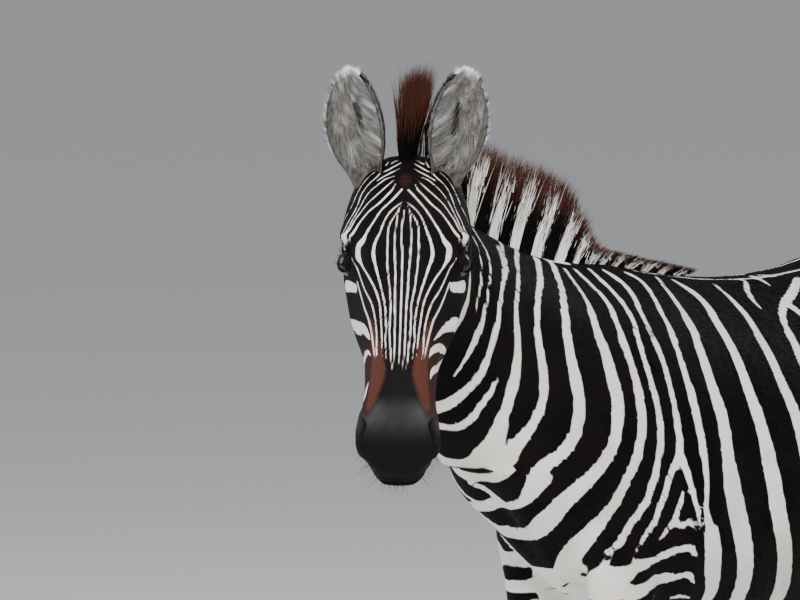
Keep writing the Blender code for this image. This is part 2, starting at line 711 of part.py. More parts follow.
def hoof_rings(side, end):
    """A hoof: a flat sole, sloping walls and a flat top under the pastern."""
    turn = np.arange(20) * 2 * math.pi / 20
    rings = []
    for z, half, length, ahead in HOOF:
        x = side * HOOF_X[end] + half * np.cos(turn) * (1 - 0.10 * np.sin(turn))
        y = HOOF_Y[end] - ahead - length * np.sin(turn)
        rings.append(np.stack([x, y, np.full(20, z)], 1))
    return np.array(rings)


def eye(side):
    name = "eye_left" if side > 0 else "eye_right"
    return ball(name, eye_centre(side), (EYE_RADIUS,) * 3, 8)


def all_parts():
    body = whole_body()
    parts = body_parts(body)
    for side, hand in ((1, "left"), (-1, "right")):
        parts[f"eye_{hand}"] = eye(side)
        parts["head"] = trimmed(parts["head"], parts[f"eye_{hand}"])
        parts[f"ear_{hand}"] = trimmed(skinned(f"ear_{hand}", ear_rings(side)), body)
        for end, kind in ((-1, "fore"), (1, "hind")):
            name = f"{kind}hoof_{hand}"
            parts[name] = skinned(name, hoof_rings(side, end))
    parts["mane"] = trimmed(skinned("mane", mane_rings()), body, MANE_GAP)
    parts["tail"] = trimmed(skinned("tail", level_rings(DOCK, 2, 10)), body)
    parts["tail_tuft"] = skinned("tail_tuft", level_rings(TUFT, 2, 10))
    bpy.data.objects.remove(body)
    return parts


# ---- Placing and colouring -------------------------------------------------
FINISH_OF = {
    "mane": "mane_brown",
    "tail_tuft": "coat_black",
    "ear": "ear_grey",
    "eye": "eye_dark",
    "forehoof": "hoof_horn",
    "hindhoof": "hoof_horn",
}


def finish(name):
    """The material of a part, made on first use."""
    found = bpy.data.materials.get(name)
    if found is None:
        colour, roughness = FINISHES[name]
        found = bpy.data.materials.new(name)
        found.use_nodes = True
        shader = found.node_tree.nodes["Principled BSDF"]
        shader.inputs["Base Color"].default_value = (*colour, 1)
        shader.inputs["Roughness"].default_value = roughness
    return found


def settle_on_floor(parts):
    """The parts posed, then moved so the origin is below the middle of the whole."""
    for part in parts.values():
        set_points(part.data, posed(mesh_points(part.data)))
    points = np.concatenate([mesh_points(part.data) for part in parts.values()])
    low, high = points.min(0), points.max(0)
    shift = np.array((*(low[:2] + high[:2]) / 2, low[2]))
    for part in parts.values():
        set_points(part.data, mesh_points(part.data) - shift)


for old in list(bpy.data.objects):
    bpy.data.objects.remove(old)
made = all_parts()
settle_on_floor(made)
for part_name, part in made.items():
    kind = part_name if part_name in FINISH_OF else part_name.split("_")[0]
    part.data.materials.clear()
    part.data.materials.append(finish(FINISH_OF.get(kind, "coat_white")))
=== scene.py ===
# A plains zebra with its coat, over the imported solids. Metres, +Z up, it faces -Y.
import json
import math

import bmesh
import bpy
import numpy as np
from mathutils import Matrix, Vector
from mathutils.bvhtree import BVHTree

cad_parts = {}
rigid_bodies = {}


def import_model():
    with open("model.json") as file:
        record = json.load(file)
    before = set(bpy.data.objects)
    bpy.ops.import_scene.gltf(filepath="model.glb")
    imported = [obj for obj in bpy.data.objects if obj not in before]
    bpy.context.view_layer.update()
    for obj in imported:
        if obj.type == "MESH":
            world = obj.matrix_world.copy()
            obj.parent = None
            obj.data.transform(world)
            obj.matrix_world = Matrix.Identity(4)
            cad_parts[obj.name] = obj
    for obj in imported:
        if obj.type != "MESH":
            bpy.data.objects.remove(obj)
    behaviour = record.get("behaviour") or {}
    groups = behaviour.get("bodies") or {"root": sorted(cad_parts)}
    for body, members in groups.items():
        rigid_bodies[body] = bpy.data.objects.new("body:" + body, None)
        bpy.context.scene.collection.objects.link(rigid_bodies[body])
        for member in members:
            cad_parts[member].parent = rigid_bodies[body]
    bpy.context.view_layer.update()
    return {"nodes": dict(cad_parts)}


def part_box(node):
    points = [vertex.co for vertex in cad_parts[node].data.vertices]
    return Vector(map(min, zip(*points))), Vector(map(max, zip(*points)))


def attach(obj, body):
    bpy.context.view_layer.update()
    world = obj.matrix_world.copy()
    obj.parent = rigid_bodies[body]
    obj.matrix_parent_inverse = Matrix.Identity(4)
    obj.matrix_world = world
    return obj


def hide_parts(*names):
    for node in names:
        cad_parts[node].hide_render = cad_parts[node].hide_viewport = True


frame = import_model()

# The straight body. Rows hold sections in mm, the rest is in metres; the pose comes after the markings.
bodyForm = {
    "voxel": 0.0105,
    "coatDepth": 0.003,
    "easingRounds": 140,
    "smoothing": (0.55, -0.58),
    "torsoLevels": (0.04, 0.22, 0.48, 0.74, 0.95),
    # top (y, z), bottom (y, z), half-widths at the levels
    "torso": (
        (-962, 1457, -858, 1328, 10, 34, 42, 36, 14),
        (-926, 1480, -800, 1250, 18, 58, 76, 68, 30),
        (-840, 1460, -750, 1172, 20, 64, 85, 79, 38),
        (-715, 1410, -684, 1080, 24, 74, 98, 91, 46),
        (-590, 1355, -604, 985, 28, 84, 108, 103, 52),
        (-470, 1308, -530, 895, 34, 100, 128, 124, 64),
        (-355, 1283, -405, 770, 44, 122, 153, 142, 66),
        (-252, 1272, -285, 692, 54, 142, 180, 168, 80),
        (-130, 1252, -160, 655, 64, 160, 208, 204, 104),
        (0, 1236, -10, 632, 72, 176, 229, 222, 116),
        (140, 1230, 135, 622, 78, 184, 237, 226, 122),
        (280, 1238, 272, 642, 82, 186, 230, 214, 114),
        (400, 1256, 400, 695, 84, 180, 215, 196, 98),
        (500, 1260, 510, 762, 78, 166, 198, 180, 86),
        (590, 1236, 600, 835, 56, 142, 174, 160, 70),
        (648, 1190, 672, 930, 36, 98, 132, 120, 56),
        (676, 1130, 694, 1010, 16, 42, 52, 42, 22),
    ),
    # centre (x, y, z), half-width across, half-width fore and aft
    "foreleg": (
        (76, -265, 1130, 38, 68),
        (86, -290, 1030, 48, 94),
        (92, -310, 930, 50, 102),
        (95, -314, 840, 49, 92),
        (98, -314, 755, 46, 77),
        (102, -318, 670, 44, 62),
        (101, -324, 570, 37, 47),
        (101, -329, 480, 31, 36),
        (101, -334, 430, 35, 38),
        (101, -329, 380, 29, 33),
        (101, -322, 330, 22, 27),
        (101, -319, 240, 21, 27),
        (101, -322, 190, 24, 32),
        (101, -326, 155, 29, 35),
        (101, -338, 115, 24, 27),
        (101, -354, 78, 29, 32),
        (101, -368, 40, 32, 36),
    ),
    "hindleg": (
        (74, 460, 1120, 56, 110),
        (100, 495, 1030, 76, 150),
        (112, 505, 940, 82, 166),
        (116, 492, 850, 78, 160),
        (116, 482, 765, 69, 136),
        (111, 520, 680, 55, 98),
        (109, 570, 605, 43, 67),
        (108, 618, 545, 34, 52),
        (107, 647, 490, 35, 53),
        (106, 650, 435, 30, 43),
        (106, 643, 380, 24, 32),
        (106, 636, 270, 22, 29),
        (106, 633, 200, 25, 33),
        (106, 630, 160, 29, 36),
        (106, 617, 115, 24, 27),
        (106, 601, 78, 29, 32),
        (106, 587, 40, 32, 36),
    ),
    "dock": (
        (0, 640, 1170, 26, 22),
        (0, 680, 1140, 26, 24),
        (0, 712, 1080, 21, 20),
        (0, 728, 1000, 18, 17),
        (0, 735, 900, 16, 15),
        (0, 738, 790, 13, 13),
    ),
    # centre, half-sizes, how far the skin is pushed out
    "muscles": (
        ((0.070, -0.500, 0.925), (0.055, 0.080, 0.060), 0.012),  # breast
        ((0.000, -0.490, 0.860), (0.020, 0.080, 0.120), -0.010),  # groove of the breast
        ((0.125, -0.420, 0.930), (0.080, 0.060, 0.080), 0.006),  # point of the shoulder
        ((0.170, -0.235, 0.880), (0.090, 0.070, 0.100), 0.016),  # triceps
        ((0.180, -0.125, 0.860), (0.080, 0.045, 0.120), -0.006),  # hollow behind the arm
        ((0.130, -0.300, 1.090), (0.080, 0.060, 0.110), 0.006),  # shoulder blade
        ((0.110, -0.430, 1.060), (0.080, 0.050, 0.120), -0.005),  # before the shoulder
        ((0.170, 0.330, 1.140), (0.080, 0.070, 0.070), 0.010),  # point of the hip
        ((0.190, 0.320, 0.960), (0.080, 0.090, 0.120), -0.010),  # flank
        ((0.160, 0.540, 1.000), (0.090, 0.120, 0.140), 0.010),  # haunch
        ((0.160, 0.380, 0.790), (0.080, 0.060, 0.070), 0.012),  # stifle
        ((0.108, 0.710, 0.520), (0.030, 0.034, 0.036), 0.018),  # point of the hock
        ((0.108, 0.665, 0.590), (0.018, 0.030, 0.060), 0.010),  # tendon above the hock
        ((0.101, -0.372, 0.430), (0.030, 0.020, 0.034), 0.004),  # front of the knee
    ),
}

headForm = {
    "pitch": math.radians(58),
    "poll": (-0.955, 1.482),
    "levels": (0.05, 0.26, 0.55, 0.88),
    # distance from the poll, top, bottom, half-widths at the levels
    "sections": (
        (-30, -34, -150, 20, 52, 52, 30),
        (0, -14, -180, 34, 74, 72, 38),
        (40, 0, -212, 50, 90, 84, 44),
        (85, 8, -234, 60, 99, 92, 52),
        (125, 10, -236, 62, 97, 94, 56),
        (160, 8, -228, 58, 90, 93, 56),
        (205, 4, -210, 50, 78, 88, 54),
        (265, 1, -176, 42, 66, 76, 44),
        (330, -1, -146, 37, 57, 60, 34),
        (395, -3, -128, 36, 55, 53, 32),
        (440, -6, -120, 41, 62, 57, 34),
        (472, -13, -122, 42, 66, 61, 37),
        (498, -30, -118, 34, 58, 56, 34),
        (514, -52, -100, 18, 34, 34, 20),
    ),
    # down the face, to the side and out of it: centre, half-sizes, push
    "bones": (
        ((0.440, 0.052, -0.044), (0.022, 0.016, 0.020), -0.005),  # nostril
        ((0.452, 0.048, -0.028), (0.026, 0.018, 0.014), 0.005),  # rim over the nostril
        ((0.120, 0.085, -0.150), (0.060, 0.050, 0.055), 0.006),  # cheek
        ((0.200, 0.075, -0.085), (0.060, 0.040, 0.014), 0.004),  # ridge below the eye
        ((0.300, 0.055, -0.070), (0.060, 0.030, 0.030), -0.005),  # hollow beside the nose
        ((0.478, 0.000, -0.122), (0.022, 0.030, 0.020), 0.005),  # chin
        ((0.115, 0.094, -0.034), (0.026, 0.030, 0.022), 0.011),  # ridge over the eye
        ((0.070, 0.070, -0.020), (0.030, 0.026, 0.030), -0.005),  # hollow of the temple
        ((0.500, 0.052, -0.080), (0.026, 0.022, 0.036), -0.009),  # corner of the lips
    ),
    "eyeRadius": 0.0215,
    "eyeAt": (0.155, 0.0805, -0.056),
    "browAt": (0.155, 0.0665, -0.055),
}

for key in ("torso", "foreleg", "hindleg", "dock"):
    bodyForm[key] = np.array(bodyForm[key]) / 1000
headForm["sections"] = np.array(headForm["sections"]) / 1000

pose = {
    "headTurn": math.radians(37),
    "neckBase": (-0.50, 1.12),
    "neckEnd": (-0.835, 1.375),
    "headBack": (-0.905, 1.500),
    "headFrontward": (-0.930, -0.368),
    "headBlend": 0.15,
    "headFloor": 0.96,
    # side, end: how far the leg stands ahead of or behind square
    "stance": {(1, -1): -0.030, (-1, -1): 0.075, (1, 1): 0.050, (-1, 1): -0.045},
    "stanceTop": 0.95,
    "stanceFoot": 0.35,
    "legMiddle": {-1: -0.33, 1: 0.53},
    "swayFull": 0.14,
    "swayEnd": 0.28,
    "hoofMiddle": (0.101, -0.3775, 0.029),  # the left fore hoof before the pose
}


def eased(value):
    value = np.clip(value, 0, 1)
    return value * value * (3 - 2 * value)


def lengthsOf(vectors):
    return np.linalg.norm(vectors, axis=1)


def crossed(rows, perSpan, closed=False):
    # a smooth curve through every row
    rows = np.asarray(rows, float)
    flat = rows.reshape(len(rows), -1)
    count = len(flat)
    if closed:
        slope = (np.roll(flat, -1, 0) - np.roll(flat, 1, 0)) / 2
        spans = [(i, (i + 1) % count, 1.0) for i in range(count)]
    else:
        step = lengthsOf(np.diff(flat, axis=0))
        rate = np.diff(flat, axis=0) / step[:, None]
        slope = np.empty_like(flat)
        slope[0], slope[-1] = rate[0], rate[-1]
        mix = step[:-1, None] + step[1:, None]
        slope[1:-1] = (rate[:-1] * step[1:, None] + rate[1:] * step[:-1, None]) / mix
        spans = [(i, i + 1, step[i]) for i in range(count - 1)]
    made = []
    for i, j, length in spans:
        for s in np.arange(perSpan) / perSpan:
            a, c = 2 * s**3 - 3 * s**2 + 1, 3 * s**2 - 2 * s**3
            b, d = s**3 - 2 * s**2 + s, s**3 - s**2
            made.append(a * flat[i] + b * length * slope[i] + c * flat[j] + d * length * slope[j])
    if not closed:
        made.append(flat[-1])
    return np.array(made).reshape(-1, *rows.shape[1:])


def uprightRings(sections, levels, perSpan, around):
    rings = []
    for row in crossed(sections, perSpan):
        top, bottom, widths = row[0:2], row[2:4], row[4:]
        half = [(w, *(top + (bottom - top) * t)) for w, t in zip(widths, levels)]
        ring = [(0, *top), *half, (0, *bottom), *[(-x, y, z) for x, y, z in reversed(half)]]
        rings.append(crossed(ring, around, closed=True))
    return np.array(rings)


def levelRings(stations, perSpan, around):
    turn = np.arange(around) * 2 * math.pi / around
    rings = [
        np.stack([x + a * np.cos(turn), y - b * np.sin(turn), np.full(around, z)], 1)
        for x, y, z, a, b in crossed(stations, perSpan)
    ]
    return np.array(rings)


def linked(name, mesh):
    found = bpy.data.objects.new(name, mesh)
    bpy.context.scene.collection.objects.link(found)
    return found


def outward(obj):
    work = bmesh.new()
    work.from_mesh(obj.data)
    bmesh.ops.triangulate(work, faces=[f for f in work.faces if len(f.verts) > 4], ngon_method="EAR_CLIP")
    bmesh.ops.recalc_face_normals(work, faces=work.faces)
    if work.calc_volume(signed=True) < 0:
        bmesh.ops.reverse_faces(work, faces=work.faces)
    work.to_mesh(obj.data)
    work.free()
    return obj


def skinned(name, rings):
    # a closed form over a row of rings
    count, around = rings.shape[:2]
    last = (count - 1) * around
    faces = [tuple(range(around))[::-1], tuple(range(last, last + around))]
    for k in range(around):
        n = (k + 1) % around
        faces += [
            (i * around + k, i * around + n, (i + 1) * around + n, (i + 1) * around + k)
            for i in range(count - 1)
        ]
    mesh = bpy.data.meshes.new(name)
    mesh.from_pydata([tuple(p) for p in rings.reshape(-1, 3)], [], faces)
    return outward(linked(name, mesh))


def ball(name, centre, radii, rings):
    work = bmesh.new()
    bmesh.ops.create_uvsphere(work, u_segments=2 * rings, v_segments=rings, radius=1)
    place = Matrix.Translation(centre) @ Matrix.Diagonal((*radii, 1))
    bmesh.ops.transform(work, matrix=place, verts=work.verts)
    mesh = bpy.data.meshes.new(name)
    work.to_mesh(mesh)
    work.free()
    return linked(name, mesh)


def headAxes():
    poll = np.array((0.0, *headForm["poll"]))
    c, s = math.cos(headForm["pitch"]), math.sin(headForm["pitch"])
    return poll, np.array((0.0, -c, -s)), np.array((0.0, -s, c))


def onHead(along, side, out):
    poll, down, up = headAxes()
    return poll + along * down + out * up + np.array((side, 0, 0))


def headPlaces(points):
    # down the face, to the side, and out of it
    poll, down, up = headAxes()
    return np.stack([(points - poll) @ down, points[:, 0], (points - poll) @ up], 1)


def bent(points, at):
    base, end = np.array(pose["neckBase"]), np.array(pose["neckEnd"])
    line = end - base
    steps = 80
    marks = np.arange(steps + 1) / steps
    middle = pose["headTurn"] * ((marks[1:] + marks[:-1]) / 2) ** 2
    pathX = np.append(0, np.cumsum(-np.sin(middle))) * line[0] / steps
    pathY = np.append(0, np.cumsum(np.cos(middle))) * line[0] / steps
    bend = pose["headTurn"] * at**2
    offX, offY = points[:, 0], points[:, 1] - base[0] - at * line[0]
    made = points.copy()
    made[:, 0] = np.interp(at, marks, pathX) + offX * np.cos(bend) - offY * np.sin(bend)
    made[:, 1] = base[0] + np.interp(at, marks, pathY)
    made[:, 1] += offX * np.sin(bend) + offY * np.cos(bend)
    return made


def headShare(points):
    ahead = (points[:, 1:] - pose["headBack"]) @ np.array(pose["headFrontward"])
    return eased((ahead + pose["headBlend"]) / pose["headBlend"]) * (points[:, 2] > pose["headFloor"])


def swayed(points):
    points = np.array(points, float).reshape(-1, 3)
    low = eased((pose["stanceTop"] - points[:, 2]) / (pose["stanceTop"] - pose["stanceFoot"]))
    sway = np.zeros(len(points))
    for (side, end), shift in pose["stance"].items():
        away = np.abs(points[:, 1] - pose["legMiddle"][end])
        near = eased((pose["swayEnd"] - away) / (pose["swayEnd"] - pose["swayFull"]))
        sway += shift * low * near * eased(side * points[:, 0] / 0.06)
    points[:, 1] += sway
    base = np.array(pose["neckBase"])
    line = np.array(pose["neckEnd"]) - base
    at = np.clip((points[:, 1:] - base) @ line / (line @ line), 0, 1)
    head = headShare(points)[:, None]
    return bent(points, at) * (1 - head) + bent(points, np.ones(len(points))) * head


def originShift():
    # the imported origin, found again from a hoof
    low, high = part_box("forehoof_left")
    return swayed(pose["hoofMiddle"])[0] - np.array((low + high) / 2)


toFrame = originShift()


def posed(points):
    return swayed(points) - toFrame


def joined(name, forms):
    work = bmesh.new()
    for form in forms:
        work.from_mesh(form.data)
        bpy.data.objects.remove(form)
    mesh = bpy.data.meshes.new(name)
    work.to_mesh(mesh)
    work.free()
    return linked(name, mesh)


def settled(obj):
    graph = bpy.context.evaluated_depsgraph_get()
    mesh = bpy.data.meshes.new_from_object(obj.evaluated_get(graph))
    obj.modifiers.clear()
    obj.data = mesh
    return obj


def fetched(items, field, width=1, kind=np.float32):
    values = np.empty(len(items) * width, kind)
    items.foreach_get(field, values)
    return values.reshape(-1, width) if width > 1 else values


def meshPoints(mesh):
    return fetched(mesh.vertices, "co", 3, float)


def setPoints(mesh, points):
    mesh.vertices.foreach_set("co", np.asarray(points, np.float32).ravel())
    mesh.update()


def meshNormals(mesh):
    return fetched(mesh.vertices, "normal", 3).astype(float)


def meshEdges(mesh):
    return fetched(mesh.edges, "vertices", 2, np.int32)


def getAttribute(mesh, name, kind=np.float32):
    return fetched(mesh.attributes[name].data, "value", 1, kind)


def setAttribute(mesh, name, kind, values):
    layer = mesh.attributes.get(name) or mesh.attributes.new(name, kind, "POINT")
    field = "vector" if kind == "FLOAT_VECTOR" else "value"
    values = np.ascontiguousarray(values, np.int32 if kind == "INT" else np.float32)
    layer.data.foreach_set(field, values.ravel())


def softened(points, edges, weight, rounds):
    # each round smooths, then swells by as much
    count = len(points)
    valence = np.bincount(edges.ravel(), minlength=count)[:, None]
    for _ in range(rounds):
        for share in bodyForm["smoothing"]:
            total = np.zeros_like(points)
            for axis in range(3):
                total[:, axis] = np.bincount(edges[:, 0], points[edges[:, 1], axis], count)
                total[:, axis] += np.bincount(edges[:, 1], points[edges[:, 0], axis], count)
            points = points + share * weight[:, None] * (total / valence - points)
    return points


def jointWeight(points):
    legs = eased((points[:, 2] - 0.50) / 0.20)
    ahead = (points[:, 1:] - pose["headBack"]) @ np.array(pose["headFrontward"])
    head = eased((ahead - 0.01) / 0.06) * (points[:, 2] > pose["headFloor"])
    return (0.25 + 0.75 * legs) * (1 - 0.75 * head)


def swollen(points, normals, pushes):
    half = points * np.where(points[:, :1] < 0, (-1, 1, 1), (1, 1, 1))
    places = headPlaces(half)
    push = np.zeros(len(points))
    for onFace, centre, sizes, height in pushes:
        away = ((places if onFace else half) - centre) / sizes
        push += height * np.exp(-(away**2).sum(1))
    return points + normals * push[:, None]


def bodyLofts():
    headRows = []
    for a, top, bottom, *widths in headForm["sections"]:
        headRows.append((*onHead(a, 0, top)[1:], *onHead(a, 0, bottom)[1:], *widths))
    forms = [
        skinned("torso", uprightRings(bodyForm["torso"], bodyForm["torsoLevels"], 4, 4)),
        skinned("face", uprightRings(headRows, headForm["levels"], 5, 5)),
    ]
    for side in (1, -1):
        for leg in ("foreleg", "hindleg"):
            rings = levelRings(bodyForm[leg], 4, 24) * (side, 1, 1)
            forms.append(skinned(leg, rings))
        a, s, o = headForm["browAt"]
        forms.append(ball("brow", onHead(a, side * s, o), (0.028, 0.037, 0.036), 10))
    return forms


def bodySkin():
    body = joined("body", bodyLofts())
    remesh = body.modifiers.new("oneSkin", "REMESH")
    remesh.mode = "VOXEL"
    remesh.voxel_size = bodyForm["voxel"]
    settled(body)
    points, edges = meshPoints(body.data), meshEdges(body.data)
    points = softened(points, edges, jointWeight(points), bodyForm["easingRounds"])
    points = softened(points, edges, np.ones(len(points)), 3)
    setPoints(body.data, points)
    pushes = [(False, *row) for row in bodyForm["muscles"]]
    pushes += [(True, *row) for row in headForm["bones"]]
    setPoints(body.data, swollen(points, meshNormals(body.data), pushes))
    return body


def finer(mesh, region):
    # the faces whose corners all lie in the region, cut in four
    work = bmesh.new()
    work.from_mesh(mesh)
    work.verts.ensure_lookup_table()
    edges = [e for e in work.edges if region[e.verts[0].index] and region[e.verts[1].index]]
    bmesh.ops.subdivide_edges(work, edges=edges, cuts=1, use_grid_fill=True)
    bmesh.ops.triangulate(work, faces=[f for f in work.faces if len(f.verts) > 4])
    work.to_mesh(mesh)
    work.free()


def fineRegions(points):
    # the head and lower legs, then the front of the face, the eyes and the muzzle
    places = headPlaces(points)
    a, s, o = places[:, 0], np.abs(places[:, 1]), places[:, 2]
    onHeadSkin = (headShare(points) > 0.55) & (a > -0.045)
    face = (a > -0.01) & (o > -0.012 - 0.45 * s)
    eye = lengthsOf(np.stack([a, s, o], 1) - headForm["eyeAt"]) < 0.048
    muzzle = (a > 0.405) & (o > -0.115)
    return onHeadSkin | (points[:, 2] < 0.56), onHeadSkin & (face | eye | muzzle)


def refined(body):
    for level in range(2):
        finer(body.data, fineRegions(meshPoints(body.data))[level])
        points = meshPoints(body.data)
        weight = fineRegions(points)[level].astype(float)
        setPoints(body.data, softened(points, meshEdges(body.data), weight, 10))
        print("finer skin", level + 1, len(body.data.polygons), "faces")
    return body


# The face: lids, nostrils and mouth, in places down the face, to the side, and out of it.
eyelids = {
    "looks": (-0.10, 0.84, 0.50),  # the way the eye faces
    "towardNose": (0.93, 0.02, 0.16),
    "halfLength": 0.0185,
    "upperHeight": 0.0108,
    "lowerHeight": 0.0094,
    "lidThickness": 0.0028,
    "edge": 0.0014,
    "under": 0.0045,  # how far the skin dips below the eyeball
    "creaseAt": 0.0065,
    "creaseDepth": 0.0016,
}

nostrils = {
    "middle": (0.458, 0.0530, -0.024),
    "lengthWay": (0.93, 0.04, -0.32),
    "halfLength": 0.0170,
    "halfWidth": 0.0056,
    "depth": 0.015,
    "rim": 0.0032,
}

mouth = {
    "line": ((0.530, -0.078), (0.506, -0.090), (0.470, -0.098), (0.430, -0.101)),
    "halfWidth": 0.0022,
    "corner": (0.506, 0.060, -0.074),
    "cornerSize": (0.024, 0.022, 0.030),
    "cornerIn": 0.009,
    "depth": 0.0042,
    "lipSwell": 0.0018,
}


def unitRows(vectors):
    return vectors / np.maximum(lengthsOf(vectors), 1e-9)[:, None]


def unit(vector):
    vector = np.asarray(vector, float)
    return vector / np.linalg.norm(vector)


def eyeAxes():
    # toward the nose, toward the brow, and straight out
    out = unit(eyelids["looks"])
    nose = np.asarray(eyelids["towardNose"], float)
    nose = unit(nose - out * (nose @ out))
    brow = np.cross(out, nose)
    return nose, brow if brow[2] > 0 else -brow, out


def eyeOpening(places):
    # metres inside the gap between the lids, the way off the eye's axis, and how high on it
    offset = places - headForm["eyeAt"]
    reach = lengthsOf(offset)
    nose, brow, out = eyeAxes()
    turned = offset / np.maximum(reach, 1e-6)[:, None] * headForm["eyeRadius"]
    u, v, w = turned @ nose, turned @ brow, turned @ out
    height = np.where(v > 0, eyelids["upperHeight"], eyelids["lowerHeight"])
    gap = height * (1 - (u / eyelids["halfLength"]) ** 2) - np.abs(v)
    return np.where(w > 0, gap, -0.05), reach, w / headForm["eyeRadius"], v


def withLids(points):
    places = headPlaces(points)
    side = np.where(places[:, 1] < 0, -1.0, 1.0)
    places[:, 1] *= side
    gap, reach, facing, high = eyeOpening(places)
    radius = headForm["eyeRadius"]
    shut = eased((-gap + eyelids["edge"]) / (2 * eyelids["edge"]))
    lid = radius + eyelids["lidThickness"]
    crease = -eyelids["creaseDepth"] * np.exp(-(((gap + eyelids["creaseAt"]) / 0.0016) ** 2))
    crease += 0.0012 * np.exp(-(((gap + 0.0022) / 0.0018) ** 2))
    target = (radius - eyelids["under"]) * (1 - shut) + lid * shut + crease * np.where(high > 0, 1, 0.6)
    near = eased((facing - 0.30) / 0.32) * (reach < 0.045)
    scale = 1 + near * (target / np.maximum(reach, 1e-6) - 1)
    places = headForm["eyeAt"] + (places - headForm["eyeAt"]) * scale[:, None]
    places[:, 1] *= side
    poll, down, up = headAxes()
    moved = poll + places[:, :1] * down + places[:, 2:] * up
    moved[:, 0] = places[:, 1]
    return np.where((near > 0)[:, None], moved, points)


def nostrilPlace(places):
    # how far along and across the slit, in its own half-sizes
    offset = places - nostrils["middle"]
    way = unit(nostrils["lengthWay"])
    outward = unit((0.10, 0.80, 0.60))
    across = np.cross(way, outward)
    u = offset @ way / nostrils["halfLength"]
    v = offset @ across / (nostrils["halfWidth"] * (1.15 - 0.45 * u)) + 0.5 * (u * u - 0.4)
    return u, v, np.abs(offset @ outward)


def lineDistance(points, line):
    best = np.full(len(points), np.inf)
    for a, b in zip(np.asarray(line, float)[:-1], np.asarray(line, float)[1:]):
        t = np.clip((points - a) @ (b - a) / ((b - a) @ (b - a)), 0, 1)
        best = np.minimum(best, lengthsOf(points - a - t[:, None] * (b - a)))
    return best


def facePush(points):
    places = headPlaces(points)
    places[:, 1] = np.abs(places[:, 1])
    onIt = headShare(points) > 0.55
    u, v, away = nostrilPlace(places)
    slit = np.exp(-((np.abs(u) ** 2 + v**2) ** 2)) * (away < 0.03)
    rim = np.exp(-(((np.sqrt(u**2 + v**2) - 1.55) / 0.45) ** 2)) * (away < 0.03)
    push = -nostrils["depth"] * slit + nostrils["rim"] * rim
    away = lineDistance(places[:, ::2], mouth["line"])
    fade = eased((places[:, 0] - 0.428) / 0.012)
    push -= mouth["depth"] * np.exp(-((away / mouth["halfWidth"]) ** 2)) * fade
    push += mouth["lipSwell"] * np.exp(-(((away - 0.007) / 0.004) ** 2)) * fade
    corner = (places - mouth["corner"]) / mouth["cornerSize"]
    push -= mouth["cornerIn"] * np.exp(-(corner**2).sum(1))
    return push * onIt


def drawnIn(points):
    # depth of the coat: thick on the body, thin on the face and feet
    places = headPlaces(points)
    head = headShare(points)
    depth = bodyForm["coatDepth"] * (1 - 0.45 * head) * (0.6 + 0.4 * eased((points[:, 2] - 0.3) / 0.4))
    return depth * (1 - 0.8 * head * eased((places[:, 0] - 0.36) / 0.08))


def faced(body):
    for push in (lambda p: -drawnIn(p), facePush):
        points = meshPoints(body.data)
        setPoints(body.data, points + meshNormals(body.data) * push(points)[:, None])
    setPoints(body.data, withLids(meshPoints(body.data)))
    return body


# Ears and the dock of the tail, grown into the same skin.
earForm = {
    "length": 0.172,
    # share of the length, half-width, depth of the cup, thickness
    "rows": (
        (-0.10, 0.024, 0.018, 0.024),
        (0.06, 0.032, 0.026, 0.016),
        (0.22, 0.044, 0.034, 0.010),
        (0.42, 0.050, 0.032, 0.008),
        (0.60, 0.047, 0.026, 0.007),
        (0.76, 0.038, 0.018, 0.006),
        (0.89, 0.024, 0.009, 0.006),
        (0.97, 0.012, 0.003, 0.005),
        (1.00, 0.005, 0.001, 0.003),
    ),
    "root": (0.012, 0.060, -0.034),
    "lean": math.radians(11),
    "back": math.radians(4),
    "twist": math.radians(12),
    "inset": 0.0012,
}


def earAxes(side):
    up = unit((side * math.sin(earForm["lean"]), math.sin(earForm["back"]), math.cos(earForm["lean"])))
    front = np.array((side * math.sin(earForm["twist"]), -math.cos(earForm["twist"]), 0))
    front = unit(front - up * (front @ up))
    a, s, o = earForm["root"]
    return onHead(a, side * s, o), up, front, np.cross(up, front)


def earPoint(side, share, t, face, row):
    # a place on the cup: t runs from edge to edge, face is 0 inside and 1 at the back
    root, up, front, across = earAxes(side)
    half, cup, thick = row[1] - earForm["inset"], row[2], row[3]
    inner = cup * (t * t - 1) + thick * 0.35 - earForm["inset"]
    outer = (cup + thick - earForm["inset"]) * (abs(t) ** 2.4 - 1)
    depth = inner * (1 - face) + outer * face + cup * 0.5
    width = half * t * (0.93 + 0.07 * face)
    lean = 0.010 * math.sin(math.pi * min(max(share, 0), 1))
    return root + up * share * earForm["length"] + front * (lean + depth) + across * width


def earShell(side):
    rings = []
    turn = np.linspace(-1, 1, 17)
    for row in crossed(earForm["rows"], 4):
        inner = [earPoint(side, row[0], t, 0, row) for t in turn]
        outer = [earPoint(side, row[0], t, 1, row) for t in turn[::-1]]
        rings.append([*inner, *outer[1:-1]])
    return skinned("ear", np.array(rings))


def withEarsAndDock(body):
    dock = skinned("dock", levelRings(bodyForm["dock"], 5, 16))
    setPoints(dock.data, meshPoints(dock.data) - meshNormals(dock.data) * 0.0015)
    count, ears = len(body.data.vertices), [earShell(1), earShell(-1)]
    earPoints = sum(len(ear.data.vertices) for ear in ears)
    whole = joined("zebraSkin", [body, *ears, dock])
    onEar = np.arange(len(whole.data.vertices))
    onEar = (onEar >= count) & (onEar < count + earPoints)
    setAttribute(whole.data, "onEar", "FLOAT", onEar)
    whole.data.polygons.foreach_set("use_smooth", np.ones(len(whole.data.polygons), bool))
    return whole


